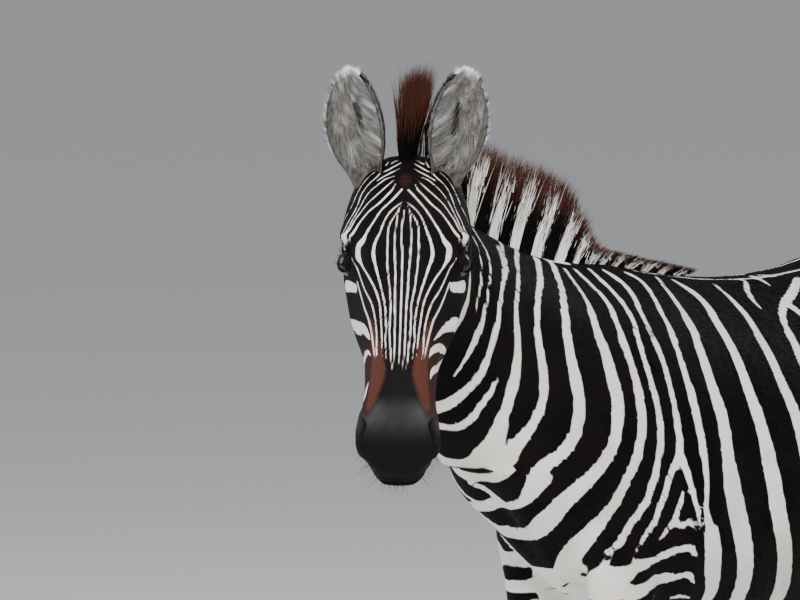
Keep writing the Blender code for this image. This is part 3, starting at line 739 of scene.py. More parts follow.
# Markings: white strokes on a black coat, each drawn by its line and half-widths in mm.
# On the trunk a point is (row of the torso, per cent of the way from the back to the belly, half-width).
trunkStrokes = (
    ((2.55, 12, 3), (2.42, 30, 4), (2.3, 46, 5), (2.24, 62, 5), (2.2, 80, 6), (2.2, 98, 6)),
    ((2.02, 10, 3), (1.94, 28, 4), (1.86, 45, 5), (1.8, 62, 5), (1.75, 80, 5), (1.7, 98, 5)),
    ((1.45, 8, 3), (1.4, 28, 4), (1.34, 50, 4), (1.3, 75, 5), (1.3, 98, 4)),
    ((0.9, 10, 3), (0.86, 30, 4), (0.8, 52, 4), (0.78, 75, 4)),
    ((3.4, 5, 2), (3.22, 16, 2), (3.06, 31, 2), (2.9, 44, 3.5), (2.7, 58, 3), (2.66, 66, 1.5)),
    ((3.74, 5, 2), (3.56, 15, 2.5), (3.37, 27, 2.7), (3.12, 45, 2.7), (2.98, 60, 5.4), (2.88, 72, 7),
     (2.88, 82, 4), (2.9, 91, 2)),
    ((4.45, 2, 2.5), (4.05, 16, 2.3), (3.58, 34, 4), (3.38, 54, 4.7), (3.32, 70, 5.4), (3.31, 83, 7.8),
     (3.25, 91, 10), (3.2, 100, 14)),
    ((4.22, 6, 1.6), (4.02, 14, 1.9), (3.81, 22, 1.9), (3.66, 30, 1.5)),
    ((3.62, 72, 0.8), (3.63, 80, 4), (3.64, 87, 4.7), (3.66, 93, 7), (3.6, 98, 7), (3.45, 100, 9)),
    ((4.78, 2, 3), (4.48, 10, 3), (4.17, 21, 3.1), (3.9, 40, 5), (3.92, 55, 6.6), (3.92, 70, 7.8),
     (4, 82, 7.8), (4.15, 91, 14), (4.2, 96, 17), (4.25, 100, 8)),
    ((5.18, 2, 4.5), (5.01, 8, 4.7), (4.55, 23, 4.7), (4.4, 37, 5.4), (4.5, 53, 7), (4.54, 64, 7),
     (4.46, 77, 7.8), (4.42, 88, 10.9), (4.46, 95, 14), (4.5, 100, 8)),
    ((5.49, 2, 4.7), (5.33, 10, 4.7), (5.09, 23, 6.6), (5.09, 39, 8.5), (5.24, 53, 10), (5.23, 63, 10),
     (5.05, 78, 10.9), (4.87, 88, 11.6), (4.9, 96, 7), (5, 100, 2.5)),
    ((5.71, 3, 2), (5.73, 12, 3), (5.67, 22, 6.2), (5.78, 33, 7.8), (5.89, 44, 8.5), (5.84, 58, 8.5),
     (5.66, 69, 10), (5.46, 81, 15.5), (5.37, 90, 20), (5.4, 96, 21), (5.5, 100, 11)),
    ((5.95, 3, 3), (6.16, 11, 3.5), (6.11, 22, 5), (6.23, 35, 5.4), (6.3, 45, 6.2), (6.25, 57, 7),
     (6.08, 68, 7.8), (5.98, 79, 11.6), (5.92, 87, 16), (5.96, 95, 20), (6.15, 99, 14)),
    ((6.32, 2, 3), (6.53, 11, 4), (6.43, 25, 4), (6.54, 37, 4.3), (6.63, 47, 5), (6.56, 61, 5),
     (6.45, 73, 6.6), (6.29, 84, 7.8), (6.13, 94, 10.9), (6.45, 98, 10)),
    ((6.66, 2, 3), (6.89, 6, 4.7), (6.77, 16, 4), (6.82, 28, 4.7), (6.92, 41, 4.7), (6.94, 52, 5.4),
     (6.8, 59, 4.7), (6.71, 69, 5), (6.67, 78, 5), (6.52, 86, 2.3)),
    ((6.94, 52, 5.4), (7.06, 58, 4.7), (7.16, 64, 4), (7.28, 69, 2.3), (7.35, 72, 1)),
    ((7.16, 2, 3), (7.35, 4, 4), (7.28, 12, 4.7), (7.21, 25, 5.4), (7.28, 36, 6.2), (7.34, 49, 6.2),
     (7.35, 59, 4.7), (7.36, 66, 4.7), (7.5, 71, 8)),
    ((7.79, 2, 3), (7.73, 14, 6.6), (7.66, 26, 8), (7.77, 40, 10), (7.79, 50, 11), (7.85, 59, 17),
     (8.1, 70, 17), (8.35, 79, 15.5), (8.58, 89, 17), (8.7, 97, 18)),
    ((8.12, 2, 3), (8.33, 6, 6.2), (8.3, 15, 7.8), (8.31, 27, 8.5), (8.41, 39, 10), (8.51, 52, 12.4),
     (8.64, 65, 14.7), (8.91, 77, 16), (9.22, 88, 18), (9.35, 97, 18)),
    ((8.92, 2, 3), (8.99, 8, 5.4), (8.94, 17, 7), (8.98, 30, 8.5), (9.06, 38, 10), (9.14, 52, 12.4),
     (9.28, 65, 14.5), (9.52, 77, 16), (9.82, 88, 18), (9.95, 97, 18)),
    ((9.66, 1, 2), (9.38, 5, 4), (9.39, 10, 1)),
    ((10.31, 1, 2), (9.96, 1, 4), (9.94, 3, 1)),
    ((10.56, 2, 4.7), (10.05, 6, 6.2), (9.8, 8, 5.4), (9.59, 12, 5.4), (9.51, 18, 7), (9.52, 32, 9),
     (9.62, 46, 11), (9.76, 60, 13), (10, 74, 15), (10.3, 86, 17), (10.45, 96, 17)),
    ((9.95, 7, 4.7), (10, 10, 5), (10.12, 13, 2)),
    ((11.95, 2, 5), (11.25, 6, 6), (10.7, 11, 7), (10.25, 18, 8), (10.1, 30, 10), (10.16, 45, 12),
     (10.32, 59, 14), (10.6, 73, 15), (10.92, 86, 17), (11.1, 96, 16)),
    ((13.3, 3, 6), (12.45, 8, 8), (11.65, 14, 9), (11, 22, 10), (10.8, 34, 12), (10.86, 48, 13),
     (11.04, 62, 14), (11.34, 75, 15), (11.7, 86, 15)),
    ((14.5, 5, 7), (13.6, 12, 10), (12.7, 20, 12), (11.95, 30, 13), (11.62, 42, 14), (11.66, 55, 14),
     (11.86, 68, 14), (12.2, 80, 13)),
    ((15.6, 12, 8), (14.8, 19, 11), (13.9, 27, 14), (13, 37, 15), (12.52, 49, 15), (12.46, 62, 14),
     (12.62, 75, 12)),
    ((6.99, 63, 3), (6.97, 67, 4), (6.94, 71, 4.7), (6.87, 78, 2.3)),
    ((6.96, 72, 4.7), (7.09, 72, 4.7), (7.14, 70, 4), (7.25, 72, 1.6)),
    ((7.55, 72, 14), (7.81, 79, 17), (8.16, 89, 12), (8.2, 98, 14)),
    ((7.5, 79, 3), (7.31, 77, 7), (7.14, 79, 7.8), (6.95, 83, 7), (6.58, 89, 8.5), (6.3, 100, 12)),
    ((7.78, 86, 2.3), (7.55, 84, 7), (7.4, 86, 7), (6.94, 91, 6.2), (6.55, 98, 7)),
    ((7.88, 90, 3), (7.73, 90, 4), (7.62, 91, 3)),
    ((5.43, 1, 4), (5.66, 1, 4), (5.94, 1, 4)),
    ((8.6, 100, 22), (9.5, 100, 30), (10.5, 100, 34), (11.5, 100, 34), (12.4, 100, 28)),
)

# Lines beside the dark stripe of the back, and round the haunch: (x, y, z) in cm, half-width in mm.
haunchStrokes = (
    ((2.6, -20, 126, 1.5), (3, 10, 123, 2.5), (3.2, 35, 125, 3), (3, 55, 125, 3), (2, 64, 120, 2)),
    ((6, 70, 107.5, 9), (13, 66, 106, 12), (20, 58, 102.5, 15), (20, 50, 96.5, 16), (20, 43.5, 89, 16),
     (20, 39.5, 82, 15), (20, 37.5, 75.5, 13)),
    ((5, 70, 98.5, 10), (12, 68, 97.5, 13), (20, 60, 94, 15), (20, 52, 88, 15), (20, 45.5, 81, 14),
     (20, 40, 73.5, 13), (10, 37, 70, 12)),
    ((5, 68, 90, 10), (13, 66, 89, 13), (20, 59, 85.5, 14), (20, 52, 80, 14), (20, 46, 74, 13),
     (15, 40, 68.5, 12), (7, 38, 66, 12)),
    ((5, 65, 82.5, 10), (14, 63, 81.5, 12), (20, 57, 77.5, 13), (20, 50, 71.5, 12), (15, 44, 66.5, 11),
     (7, 43, 64, 11)),
    ((5, 64, 75.5, 10), (14, 62, 74.5, 11), (20, 56, 70.5, 11), (18, 50, 65.5, 10), (9, 46, 62.5, 10)),
    ((5, 64, 69.2, 9), (14, 62, 68.4, 10), (18, 56, 65, 10), (12, 51, 61.2, 9)),
)

# On the head a point is (down the face, to the side, out of it, half-width), all in mm.
faceStrokes = (
    ((87, 6, 6, 0.8), (101, 9, 8, 1.5), (129, 12, 8, 1.8), (163, 12, 6, 1.9), (213, 10, 2, 2),
     (280, 8, -1, 1.9), (339, 7, -3, 1.7), (369, 5, -4, 0.8)),
    ((85, 4, 6, 0.8), (103, 14, 7, 1.4), (120, 22, 8, 1.8), (146, 24, 6, 1.9), (163, 25, 5, 1.9),
     (192, 23, 2, 1.9), (224, 20, 0, 1.8), (255, 16, -1, 1.8), (288, 16, -2, 1.9), (322, 14, -3, 1.7),
     (347, 13, -3, 1.6), (368, 10, -4, 0.7)),
    ((78, 2, 6, 0.9), (86, 11, 6, 1.6), (98, 22, 6, 1.8), (113, 30, 6, 1.8), (130, 36, 5, 2),
     (149, 43, 2, 2.6), (167, 46, 0, 3.1), (190, 40, -2, 2.4), (229, 30, -2, 1.9), (252, 25, -3, 1.8),
     (281, 22, -3, 1.9), (312, 22, -4, 1.7), (345, 20, -4, 0.9)),
    ((55, 4, 2, 1.8), (62, 10, 3, 2.1), (76, 21, 4, 2), (93, 34, 4, 1.9), (114, 47, 2, 2.1),
     (129, 57, -1, 2.6), (141, 63, -7, 4), (149, 70, -15, 5.5), (160, 70, -16, 5), (178, 64, -15, 2.6),
     (203, 51, -10, 2.1), (228, 41, -6, 2), (250, 34, -5, 1.9), (275, 31, -5, 1.8), (310, 28, -5, 1.7),
     (341, 26, -6, 0.9)),
    ((157, 81, -31, 1), (176, 73, -25, 1.6), (191, 67, -25, 1.8), (218, 58, -20, 1.9),
     (246, 46, -12, 1.9), (276, 39, -9, 1.9), (302, 36, -9, 1.8), (330, 36, -9, 1.7), (343, 34, -9, 0.9)),
    ((197, 72, -36, 2), (220, 66, -33, 2.2), (246, 58, -27, 2.3), (272, 50, -18, 2.4),
     (295, 45, -15, 2.2), (319, 41, -13, 2), (342, 38, -11, 0.9)),
    ((44, 15, -1, 1.2), (54, 19, 1, 1.9), (66, 29, 1, 2.1), (80, 41, 0, 2.2), (92, 56, -5, 2.2),
     (108, 68, -10, 2.3), (122, 79, -15, 2.6), (129, 88, -28, 2.4)),
    ((36, 18, -4, 1), (48, 29, -3, 1.7), (61, 43, -5, 1.8), (76, 62, -14, 1.8), (94, 74, -17, 1.8),
     (115, 85, -19, 1.7), (126, 94, -33, 1.4)),
    ((28, 18, -6, 1), (32, 31, -8, 1.6), (42, 45, -11, 1.7), (54, 59, -17, 1.7), (69, 69, -23, 1.6),
     (91, 79, -22, 1.6), (114, 89, -21, 1.5), (123, 96, -37, 1.3)),
    ((-10, 28, -27, 1.7), (10, 39, -17, 2.2), (23, 46, -19, 2.2), (32, 57, -23, 1.7), (47, 68, -27, 1.6),
     (68, 76, -29, 1.6), (90, 85, -27, 1.6), (112, 93, -25, 1.5), (121, 99, -44, 1.2)),
    ((3, 42, -10, 1), (8, 52, -27, 1.4), (24, 67, -34, 1.5), (43, 77, -37, 1.5), (65, 87, -41, 1.4),
     (83, 94, -48, 1.3), (111, 98, -44, 1.2)),
    ((-4, 48, -20, 1), (5, 68, -36, 1.2), (22, 77, -37, 1.2), (37, 84, -53, 1.2), (56, 89, -54, 1.2),
     (78, 93, -60, 1.1), (102, 96, -64, 1)),
    ((119, 89, -25, 3), (124, 94, -34, 6.5), (128, 97, -44, 6), (130, 98, -54, 3.5)),
    ((-14, 14, -14, 1.6), (-8, 24, -13, 2.2), (-1, 34, -15, 2.4), (6, 42, -18, 1.6)),
    ((-4, 10, -12, 1.4), (4, 20, -10, 1.9), (11, 31, -12, 2.2), (17, 41, -17, 1.6)),
    ((10, 11, -8, 1.2), (17, 21, -7, 1.7), (24, 32, -10, 2), (32, 44, -16, 1.4)),
    ((10, 78, -70, 1.5), (40, 92, -80, 1.6), (75, 99, -90, 1.7), (112, 101, -98, 1.7),
     (150, 96, -104, 1.6), (190, 90, -104, 1.5), (212, 86, -100, 1.2)),
    ((2, 75, -92, 2), (35, 92, -108, 2.2), (72, 100, -122, 2.3), (110, 100, -132, 2.3),
     (150, 95, -136, 2.2), (190, 88, -134, 2.2), (222, 82, -126, 2)),
    ((0, 72, -118, 2.5), (34, 88, -138, 2.8), (70, 94, -154, 3), (108, 94, -164, 3), (148, 90, -166, 3),
     (190, 82, -160, 3), (232, 74, -148, 3), (268, 64, -136, 2.4)),
    ((0, 60, -148, 3), (34, 76, -168, 4), (72, 80, -184, 4), (112, 80, -192, 4), (152, 74, -192, 4),
     (196, 64, -182, 4), (240, 54, -166, 3), (290, 46, -148, 2)),
    ((20, 40, -196, 5), (70, 48, -214, 5), (120, 50, -222, 5), (165, 44, -214, 5), (215, 36, -198, 5),
     (265, 30, -172, 4), (320, 28, -144, 3), (370, 26, -132, 3)),
)

leftCheekStrokes = (
    ((200, 75, -45, 6.5), (192, 83, -61, 7.5), (183, 90, -75, 8.5)),
    ((302, 51, -25, 1.5), (279, 60, -43, 4.5), (262, 68, -60, 7), (249, 77, -78, 10), (238, 80, -98, 9),
     (226, 82, -114, 4)),
    ((336, 44, -18, 1.2), (323, 48, -23, 4), (309, 55, -38, 6), (297, 61, -66, 6), (290, 62, -90, 3)),
    ((371, 47, -23, 1.2), (357, 49, -27, 4), (338, 55, -49, 5.5), (320, 58, -76, 6.5),
     (298, 58, -102, 6), (272, 60, -124, 3)),
    ((423, 58, -38, 3), (404, 56, -52, 5), (388, 54, -72, 6.5), (366, 50, -94, 5), (346, 48, -110, 3)),
)
rightCheekStrokes = (
    ((203, 74, -46, 6), (192, 83, -61, 7.5), (183, 90, -77, 8)),
    ((305, 47, -19, 1.2), (295, 51, -24, 4), (278, 58, -37, 7), (264, 68, -62, 9), (248, 76, -80, 8),
     (236, 81, -96, 5), (225, 84, -108, 2)),
    ((334, 44, -18, 1.2), (324, 48, -25, 3), (322, 54, -40, 7), (323, 57, -58, 8), (312, 58, -82, 6),
     (296, 60, -102, 3)),
    ((374, 46, -22, 1), (385, 50, -28, 3.5), (398, 51, -34, 5), (390, 53, -58, 7), (368, 52, -84, 6),
     (346, 50, -104, 3)),
)
middleStroke = (
    ((94, 0, 7, 1.2), (109, -1, 8, 1.9), (130, -3, 8, 1.7), (163, -1, 6, 1.9), (213, 0, 2, 2.1),
     (255, 0, 0, 2.1), (322, 0, -2, 1.8), (350, -1, -3, 1.5), (376, -2, -4, 0.6)),
)
# Chestnut of the face, in the same places: (down, side, out, half-width)
brownStrokes = (
    ((272, 48, -17, 3), (296, 42, -12, 5), (322, 38, -10, 9), (352, 34, -9, 12), (377, 34, -11, 14),
     (404, 37, -14, 12), (422, 41, -18, 7)),
    ((27, 1, -6, 5), (37, 1, -3, 10), (47, 1, 0, 5)),
    ((322, 55, -52, 4), (305, 60, -78, 4)),
)

# Strokes that cross the middle of the chest: (x, y, z, half-width), all in mm.
whiteChestStrokes = (
    ((-30, -556, 934, 3), (-6, -549, 924, 5), (15, -533, 904, 7), (37, -530, 896, 8), (58, -530, 903, 8),
     (80, -527, 920, 8), (102, -518, 945, 8)),
)
darkChestStrokes = (
    ((-60, -400, 787, 3), (-17, -419, 789, 4), (5, -415, 785, 4.5), (59, -435, 822, 5), (91, -432, 852, 5.5),
     (118, -425, 881, 6)),
    ((-62, -347, 725, 3), (12, -348, 733, 4), (73, -381, 772, 5), (118, -387, 801, 5), (133, -365, 816, 5)),
)

# Rings of the legs: height of the first, drop to the next and how it shrinks, tilt, and the random seed.
legRings = {
    "foreleg": {"top": 0.795, "drop": 0.043, "shrink": 0.964, "tilt": -0.012, "seed": 5},
    "hindleg": {"top": 0.628, "drop": 0.037, "shrink": 0.970, "tilt": 0.012, "seed": 9},
    "last": 0.185,  # height of the lowest ring
    "white": 0.42,  # share of the drop
    "innerExtra": 0.006,
    "wobble": (0.0028, 0.0020),
}
markLimit = 0.02
markWidth = {"neck": 1.15, "trunk": 1.32, "low": 0.92, "face": 0.96}  # the strokes' widths, all at once


def sampledStroke(line, perSpan, measure):
    # a smooth line, measured in metres along every column
    return crossed(line * measure, perSpan) / measure


torsoRows = crossed(bodyForm["torso"], 16)


def trunkPlace(station, share, side):
    index = np.arange(len(torsoRows)) / 16
    row = [np.interp(station, index, torsoRows[:, c]) for c in range(9)]
    levels = np.array((0, *bodyForm["torsoLevels"], 1))
    width = np.interp(share, levels, (0, *row[4:], 0))
    return (side * width, row[0] + (row[2] - row[0]) * share, row[1] + (row[3] - row[1]) * share)


def onSkin(tree, point):
    return np.array(tree.find_nearest(Vector(point))[0])


def onFlank(tree, point, side):
    # straight in from the side, or the nearest place where that misses
    found = tree.ray_cast(Vector((side * 0.6, point[1], point[2])), Vector((-side, 0, 0)))[0]
    if found is None or found[0] * side < 0.004:
        return onSkin(tree, point)
    return np.array(found)


def strokePaths(tree):
    # every white stroke as a path on the straight skin with its half-widths; right side slightly different
    rng = np.random.default_rng(21)
    paths = []
    for side in (1, -1):
        for rows in trunkStrokes:
            line = np.array(rows, float) / (1, 100, 1)
            if side < 0:
                free = eased((line[:, 0] - 5.0) / 2.5)  # the chest's strokes meet in the middle
                line[:, 0] += (rng.normal(0, 0.05) + rng.normal(0, 0.03, len(line))) * free
                line[:, 2] *= 1 + rng.uniform(-0.15, 0.15) * free
            line = sampledStroke(line, 6, (0.12, 0.5, 0.001))
            places = [onFlank(tree, trunkPlace(s, min(max(t, 0), 1), side), side) for s, t, w in line]
            neck, trunk, low = (markWidth[k] for k in ("neck", "trunk", "low"))
            wider = neck + (trunk - neck) * eased((line[:, 0] - 3.5) / 2)
            wider = wider + (low - wider) * eased((line[:, 1] - 0.5) / 0.35)
            paths.append((np.array(places), line[:, 2] * wider / 1000))
        for rows in haunchStrokes:
            line = np.array(rows, float) / (100, 100, 100, 1)
            if side < 0:
                line[1:, 1:3] += rng.normal(0, 0.006, (len(line) - 1, 2))
            line = sampledStroke(line, 6, (1, 1, 1, 0.001))
            places = [onSkin(tree, (side * x, y, z)) for x, y, z, w in line]
            paths.append((np.array(places), line[:, 3] / 1000))
    return paths


def chestPaths(tree, strokes):
    lines = [crossed(np.array(rows, float) / (1000, 1000, 1000, 1), 5) for rows in strokes]
    return [(np.array([onSkin(tree, (x, y, z)) for x, y, z, w in line]), line[:, 3] / 1000) for line in lines]


def facePaths(tree, strokes, sides=(1, -1), jitter=0.0):
    rng = np.random.default_rng(4)
    paths = []
    for side in sides:
        for rows in strokes:
            line = np.array(rows, float) / 1000
            if side < 0 and jitter:
                line[:, :2] += rng.normal(0, jitter, (len(line), 2))
            line = crossed(line, 5)
            places = [onSkin(tree, onHead(a, side * s, o)) for a, s, o, w in line]
            finer = np.clip(0.38 + line[:, 3] * 180, 0, 1.12)
            paths.append((np.array(places), line[:, 3] * markWidth["face"] * finer))
    return paths


def strokeReach(points, paths):
    # metres inside the nearest stroke's edge, negative outside
    found = np.full(len(points), -markLimit)
    for places, halves in paths:
        for start in range(0, len(places) - 1, 6):
            part, half = places[start:start + 7], halves[start:start + 7]
            pad = half.max() + markLimit
            box = ((points > part.min(0) - pad) & (points < part.max(0) + pad)).all(1)
            near = np.flatnonzero(box)
            if not len(near):
                continue
            local = points[near]
            best = found[near]
            for a, b, ha, hb in zip(part[:-1], part[1:], half[:-1], half[1:]):
                along = b - a
                t = np.clip((local - a) @ along / max(along @ along, 1e-12), 0, 1)
                away = lengthsOf(local - a - t[:, None] * along)
                best = np.maximum(best, ha + (hb - ha) * t - away)
            found[near] = best
    return found


slide = {"thin": 0.0062, "reach": 0.58, "crowded": 0.55}  # half-width; then shares of an edge's length


def slidOntoStrokes(points, mesh, paths):
    # the points beside the middle of a thin stroke slide onto it along the skin, so that it stays whole
    edges, normals = meshEdges(mesh), meshNormals(mesh)
    lengths = lengthsOf(points[edges[:, 0]] - points[edges[:, 1]])
    total = np.bincount(edges.ravel(), np.repeat(lengths, 2), len(points))
    allowed = slide["reach"] * total / np.maximum(np.bincount(edges.ravel(), minlength=len(points)), 1)
    allowed[(headShare(points) > 0.02) | (getAttribute(mesh, "onEar") > 0.5)] = 0
    target = points.copy()
    for places, halves in paths:
        for a, b, half in zip(places[:-1], places[1:], (halves[:-1] + halves[1:]) / 2):
            if half > slide["thin"]:
                continue
            box = (points > np.minimum(a, b) - 0.006) & (points < np.maximum(a, b) + 0.006)
            near = np.flatnonzero(box.all(1))
            t = np.clip((points[near] - a) @ (b - a) / max((b - a) @ (b - a), 1e-12), 0, 1)
            on = a + t[:, None] * (b - a) - points[near]
            on -= np.sum(on * normals[near], 1)[:, None] * normals[near]
            away = lengthsOf(on)
            closer = away < allowed[near]
            target[near[closer]] = points[near[closer]] + on[closer]
            allowed[near[closer]] = away[closer]
    moved = lengthsOf(target - points)
    left = lengthsOf(target[edges[:, 0]] - target[edges[:, 1]])
    tight = edges[(left < slide["crowded"] * lengths) & (moved[edges] > 0).any(1)]
    back = np.where(moved[tight[:, 0]] > moved[tight[:, 1]], tight[:, 0], tight[:, 1])
    target[back] = points[back]
    return target


def ringReach(points):
    # white rings round the legs, wider inside
    found = np.full(len(points), -markLimit)
    for kind in ("foreleg", "hindleg"):
        form = legRings[kind]
        rows = bodyForm[kind][::-1]
        heights = rows[:, 2]
        for side in (1, -1):
            sameEnd = (points[:, 1] > 0.2) == (kind == "hindleg")
            near = (points[:, 0] * side > 0) & (points[:, 2] < form["top"] + 0.05) & sameEnd
            near = np.flatnonzero(near)
            x, y, z = points[near].T
            x = x * side
            middleY = np.interp(z, heights, rows[:, 1])
            middleX = np.interp(z, heights, rows[:, 0])
            turn = np.arctan2(x - middleX, middleY - y)
            reach = np.interp(z, heights, rows[:, 4]) + 0.012
            onLeg = eased((reach - np.abs(y - middleY)) / 0.012)
            onLeg *= eased((form["top"] + 0.01 - z) / 0.01)
            onLeg *= eased((x - 0.045 + 0.1 * (0.66 - z).clip(0, 1)) / 0.01)
            inner = eased(-np.sin(turn))
            rng = np.random.default_rng(form["seed"] + side)
            height, drop, best = form["top"], form["drop"], np.full(len(near), -markLimit)
            while height > legRings["last"]:
                half = drop * legRings["white"] * rng.uniform(0.85, 1.1) / 2 * 1.1
                wobble = rng.normal(0, legRings["wobble"][0]) * np.cos(turn + rng.uniform(0, 6))
                wobble = wobble + rng.normal(0, legRings["wobble"][1]) * np.cos(2 * turn)
                at = height + form["tilt"] * np.cos(turn) + wobble
                half = half * (0.7 + 0.3 * np.cos(turn * 0.5) ** 2) + legRings["innerExtra"] * inner
                best = np.maximum(best, half - np.abs(z - at))
                height -= drop
                drop *= form["shrink"] * rng.uniform(0.96, 1.04)
            found[near] = np.maximum(found[near], best - (1 - onLeg) * 0.06)
    return found


def markTree(points, mesh):
    faces = [tuple(p.vertices) for p in mesh.polygons]
    return BVHTree.FromPolygons([tuple(p) for p in points], faces)


def smoothNoise(points, size, seed):
    # a soft wander of a few waves, between -1 and 1
    rng = np.random.default_rng(seed)
    total = np.zeros(len(points))
    for _ in range(5):
        way = unit(rng.normal(0, 1, 3)) / size
        total += np.sin(points @ (way * rng.uniform(4.5, 8)) + rng.uniform(0, 6.3))
    return total / 3.2


stripeBack = {"halfWidth": 0.011, "from": -0.26, "belly": 0.013}
paleInside = {"wide": 0.065, "low": 0.56, "high": 0.80, "top": 0.86, "front": -0.41}  # of thighs and arms
faceBrown = {"strokes": 0.90, "around": 0.44, "whorlEnd": 0.10, "whorl": (0.38, 0.14)}
edgeWander = {"face": 0.00025, "body": 0.0011}  # metres the stripes' edges wander
muzzleForm = {"start": 0.366, "blend": 0.034, "sideLater": 0.072}


def muzzleShare(points):
    # 1 on the dark muzzle, 0 up the face
    places = headPlaces(points)
    start = muzzleForm["start"] + muzzleForm["sideLater"] * eased((np.abs(places[:, 1]) - 0.013) / 0.034)
    start = start - 0.030 * eased((-0.085 - places[:, 2]) / 0.03)
    return eased((places[:, 0] - start) / muzzleForm["blend"] + 0.5) * (headShare(points) > 0.55)


def muzzlePaintedSheen(points):
    # a painted highlight: soft grey over the top of the nose and beside it, where light falls; it stops in
    # the nostrils, left black as painted shade, and on the lips
    places = headPlaces(points)
    places[:, 1] = np.abs(places[:, 1])
    along, aside, over = places.T
    u, v, away = nostrilPlace(places)
    # painted shade: no highlight inside the nostrils
    hole = np.exp(-((u**2 + v**2) ** 2) / 2) * (away < 0.035)
    high = eased((along - 0.402) / 0.030) * eased((0.484 - along) / 0.044)
    # painted highlight only on the upper part of the muzzle, where light falls
    high *= eased((over + 0.060) / 0.04)
    sides = eased((aside - 0.012) / 0.025) * eased((0.470 - along) / 0.04)
    speckle = 0.9 + 0.10 * smoothNoise(points, 0.004, 31) + 0.12 * smoothNoise(points, 0.020, 32)
    return np.clip((0.04 + high * (0.34 + 0.40 * sides)) * speckle, 0, 1) * (1 - hole)


def markings(points):
    # how far inside the white, in metres, and the share of chestnut
    x, y, z = points.T
    white = strokeReach(points, bodyPaths)
    head = headShare(points) > 0.02
    onFace = np.flatnonzero(head)
    white[onFace] = np.maximum(white[onFace], strokeReach(points[onFace], facialPaths))
    low = z < paleInside["top"]
    legs = np.flatnonzero(low)
    white[legs] = np.maximum(white[legs], ringReach(points[legs]))
    inside = np.abs(x)
    pale = paleInside["wide"] - inside + 0.01 * smoothNoise(points, 0.10, 3)
    pale -= 0.10 * (1 - eased((z - paleInside["low"]) / 0.06))
    pale -= 0.10 * eased((z - paleInside["high"]) / 0.05)
    pale = np.where(low & (y > paleInside["front"]), pale, -markLimit)
    white = np.maximum(white, pale)
    white = np.minimum(white, -strokeReach(points, darkPaths))
    # dark stripes down the back and the belly
    torso = (z > 1.12) & (y > stripeBack["from"]) & (y < 0.70)
    wide = stripeBack["halfWidth"] * eased((y - stripeBack["from"]) / 0.12)
    white = np.where(torso, np.minimum(white, inside - wide), white)
    belly = (z < 0.74) & (z > 0.60) & (y > -0.22) & (y < 0.38)
    white = np.where(belly, np.minimum(white, inside - stripeBack["belly"]), white)
    white += np.where(head, edgeWander["face"], edgeWander["body"]) * smoothNoise(points, 0.016, 8)
    brown = np.zeros(len(points))
    reach = strokeReach(points[onFace], chestnutPaths)
    places = headPlaces(points[onFace])
    warm = eased((places[:, 0] - 0.22) / 0.12) * eased((np.abs(places[:, 1]) - 0.020) / 0.02)
    reach += 0.0015 * smoothNoise(points[onFace], 0.005, 33)
    least, more = faceBrown["whorl"]
    fleck = least + more * smoothNoise(points[onFace], 0.0035, 34)
    deep = np.where(places[:, 0] < faceBrown["whorlEnd"], fleck, faceBrown["strokes"])
    brown[onFace] = np.maximum(eased(reach / 0.014 + 0.5) * deep, faceBrown["around"] * warm)
    return np.clip(white, -markLimit, markLimit), brown


# Hair: strands grown by one Geometry Nodes tree from points that hold their own way and size.
def setInputs(node, values):
    # each named socket gets a plain value or a link
    for name, value in values.items():
        if isinstance(value, bpy.types.NodeSocket):
            node.id_data.links.new(value, node.inputs[name])
        else:
            node.inputs[name].default_value = value


def addNode(tree, kind, inputs=None, **values):
    node = tree.nodes.new(kind)
    for name, value in values.items():
        setattr(node, name, value)
    setInputs(node, inputs or {})
    return node


def strandTree():
    tree = bpy.data.node_groups.new("strandTree", "GeometryNodeTree")
    for label, kind in (("roots", "Geometry"), ("sides", "Int"), ("rings", "Int"), ("finish", "Material")):
        tree.interface.new_socket(label, in_out="INPUT", socket_type="NodeSocket" + kind)
    tree.interface.new_socket("hair", in_out="OUTPUT", socket_type="NodeSocketGeometry")
    given = addNode(tree, "NodeGroupInput").outputs

    def stored(name, kind="FLOAT_VECTOR"):
        node = addNode(tree, "GeometryNodeInputNamedAttribute", {"Name": name}, data_type=kind)
        return node.outputs["Attribute"]

    # one cone that knows the share of its height
    cone = addNode(tree, "GeometryNodeMeshCone", {
        "Vertices": given["sides"],
        "Side Segments": given["rings"],
        "Radius Top": 0,
        "Radius Bottom": 1,
        "Depth": 1,
    }, fill_type="NGON")
    parts = addNode(tree, "ShaderNodeSeparateXYZ", {0: addNode(tree, "GeometryNodeInputPosition").outputs[0]})
    share = addNode(tree, "GeometryNodeStoreNamedAttribute", {
        "Geometry": cone.outputs["Mesh"],
        "Name": "share",
        "Value": parts.outputs["Z"],
    }, data_type="FLOAT", domain="POINT")
    # laid along each root's own way, then bent more and more toward the tip
    turn = addNode(tree, "FunctionNodeAxesToRotation", {
        "Primary Axis": stored("lie"),
        "Secondary Axis": stored("out"),
    }, primary_axis="Z", secondary_axis="X")
    spread = addNode(tree, "GeometryNodeInstanceOnPoints", {
        "Points": given["roots"],
        "Instance": share.outputs["Geometry"],
        "Rotation": turn.outputs["Rotation"],
        "Scale": stored("size"),
    })
    real = addNode(tree, "GeometryNodeRealizeInstances", {"Geometry": spread.outputs["Instances"]})
    square = addNode(tree, "ShaderNodeMath", {0: stored("share", "FLOAT"), 1: 2}, operation="POWER")
    bend = {0: stored("bend"), "Scale": square.outputs[0]}
    offset = addNode(tree, "ShaderNodeVectorMath", bend, operation="SCALE").outputs[0]
    move = addNode(tree, "GeometryNodeSetPosition", {"Geometry": real.outputs["Geometry"], "Offset": offset})
    finish = addNode(tree, "GeometryNodeSetMaterial", {
        "Geometry": move.outputs["Geometry"],
        "Material": given["finish"],
    })
    addNode(tree, "NodeGroupOutput", {"hair": finish.outputs["Geometry"]})
    return tree


def hairValues(white, brown, tone):
    # each as a pair, at the root and at the tip
    return {"white": white, "brown": brown, "tone": tone}


bakePatch = 0.003  # the side of one hair's patch on the unwrap


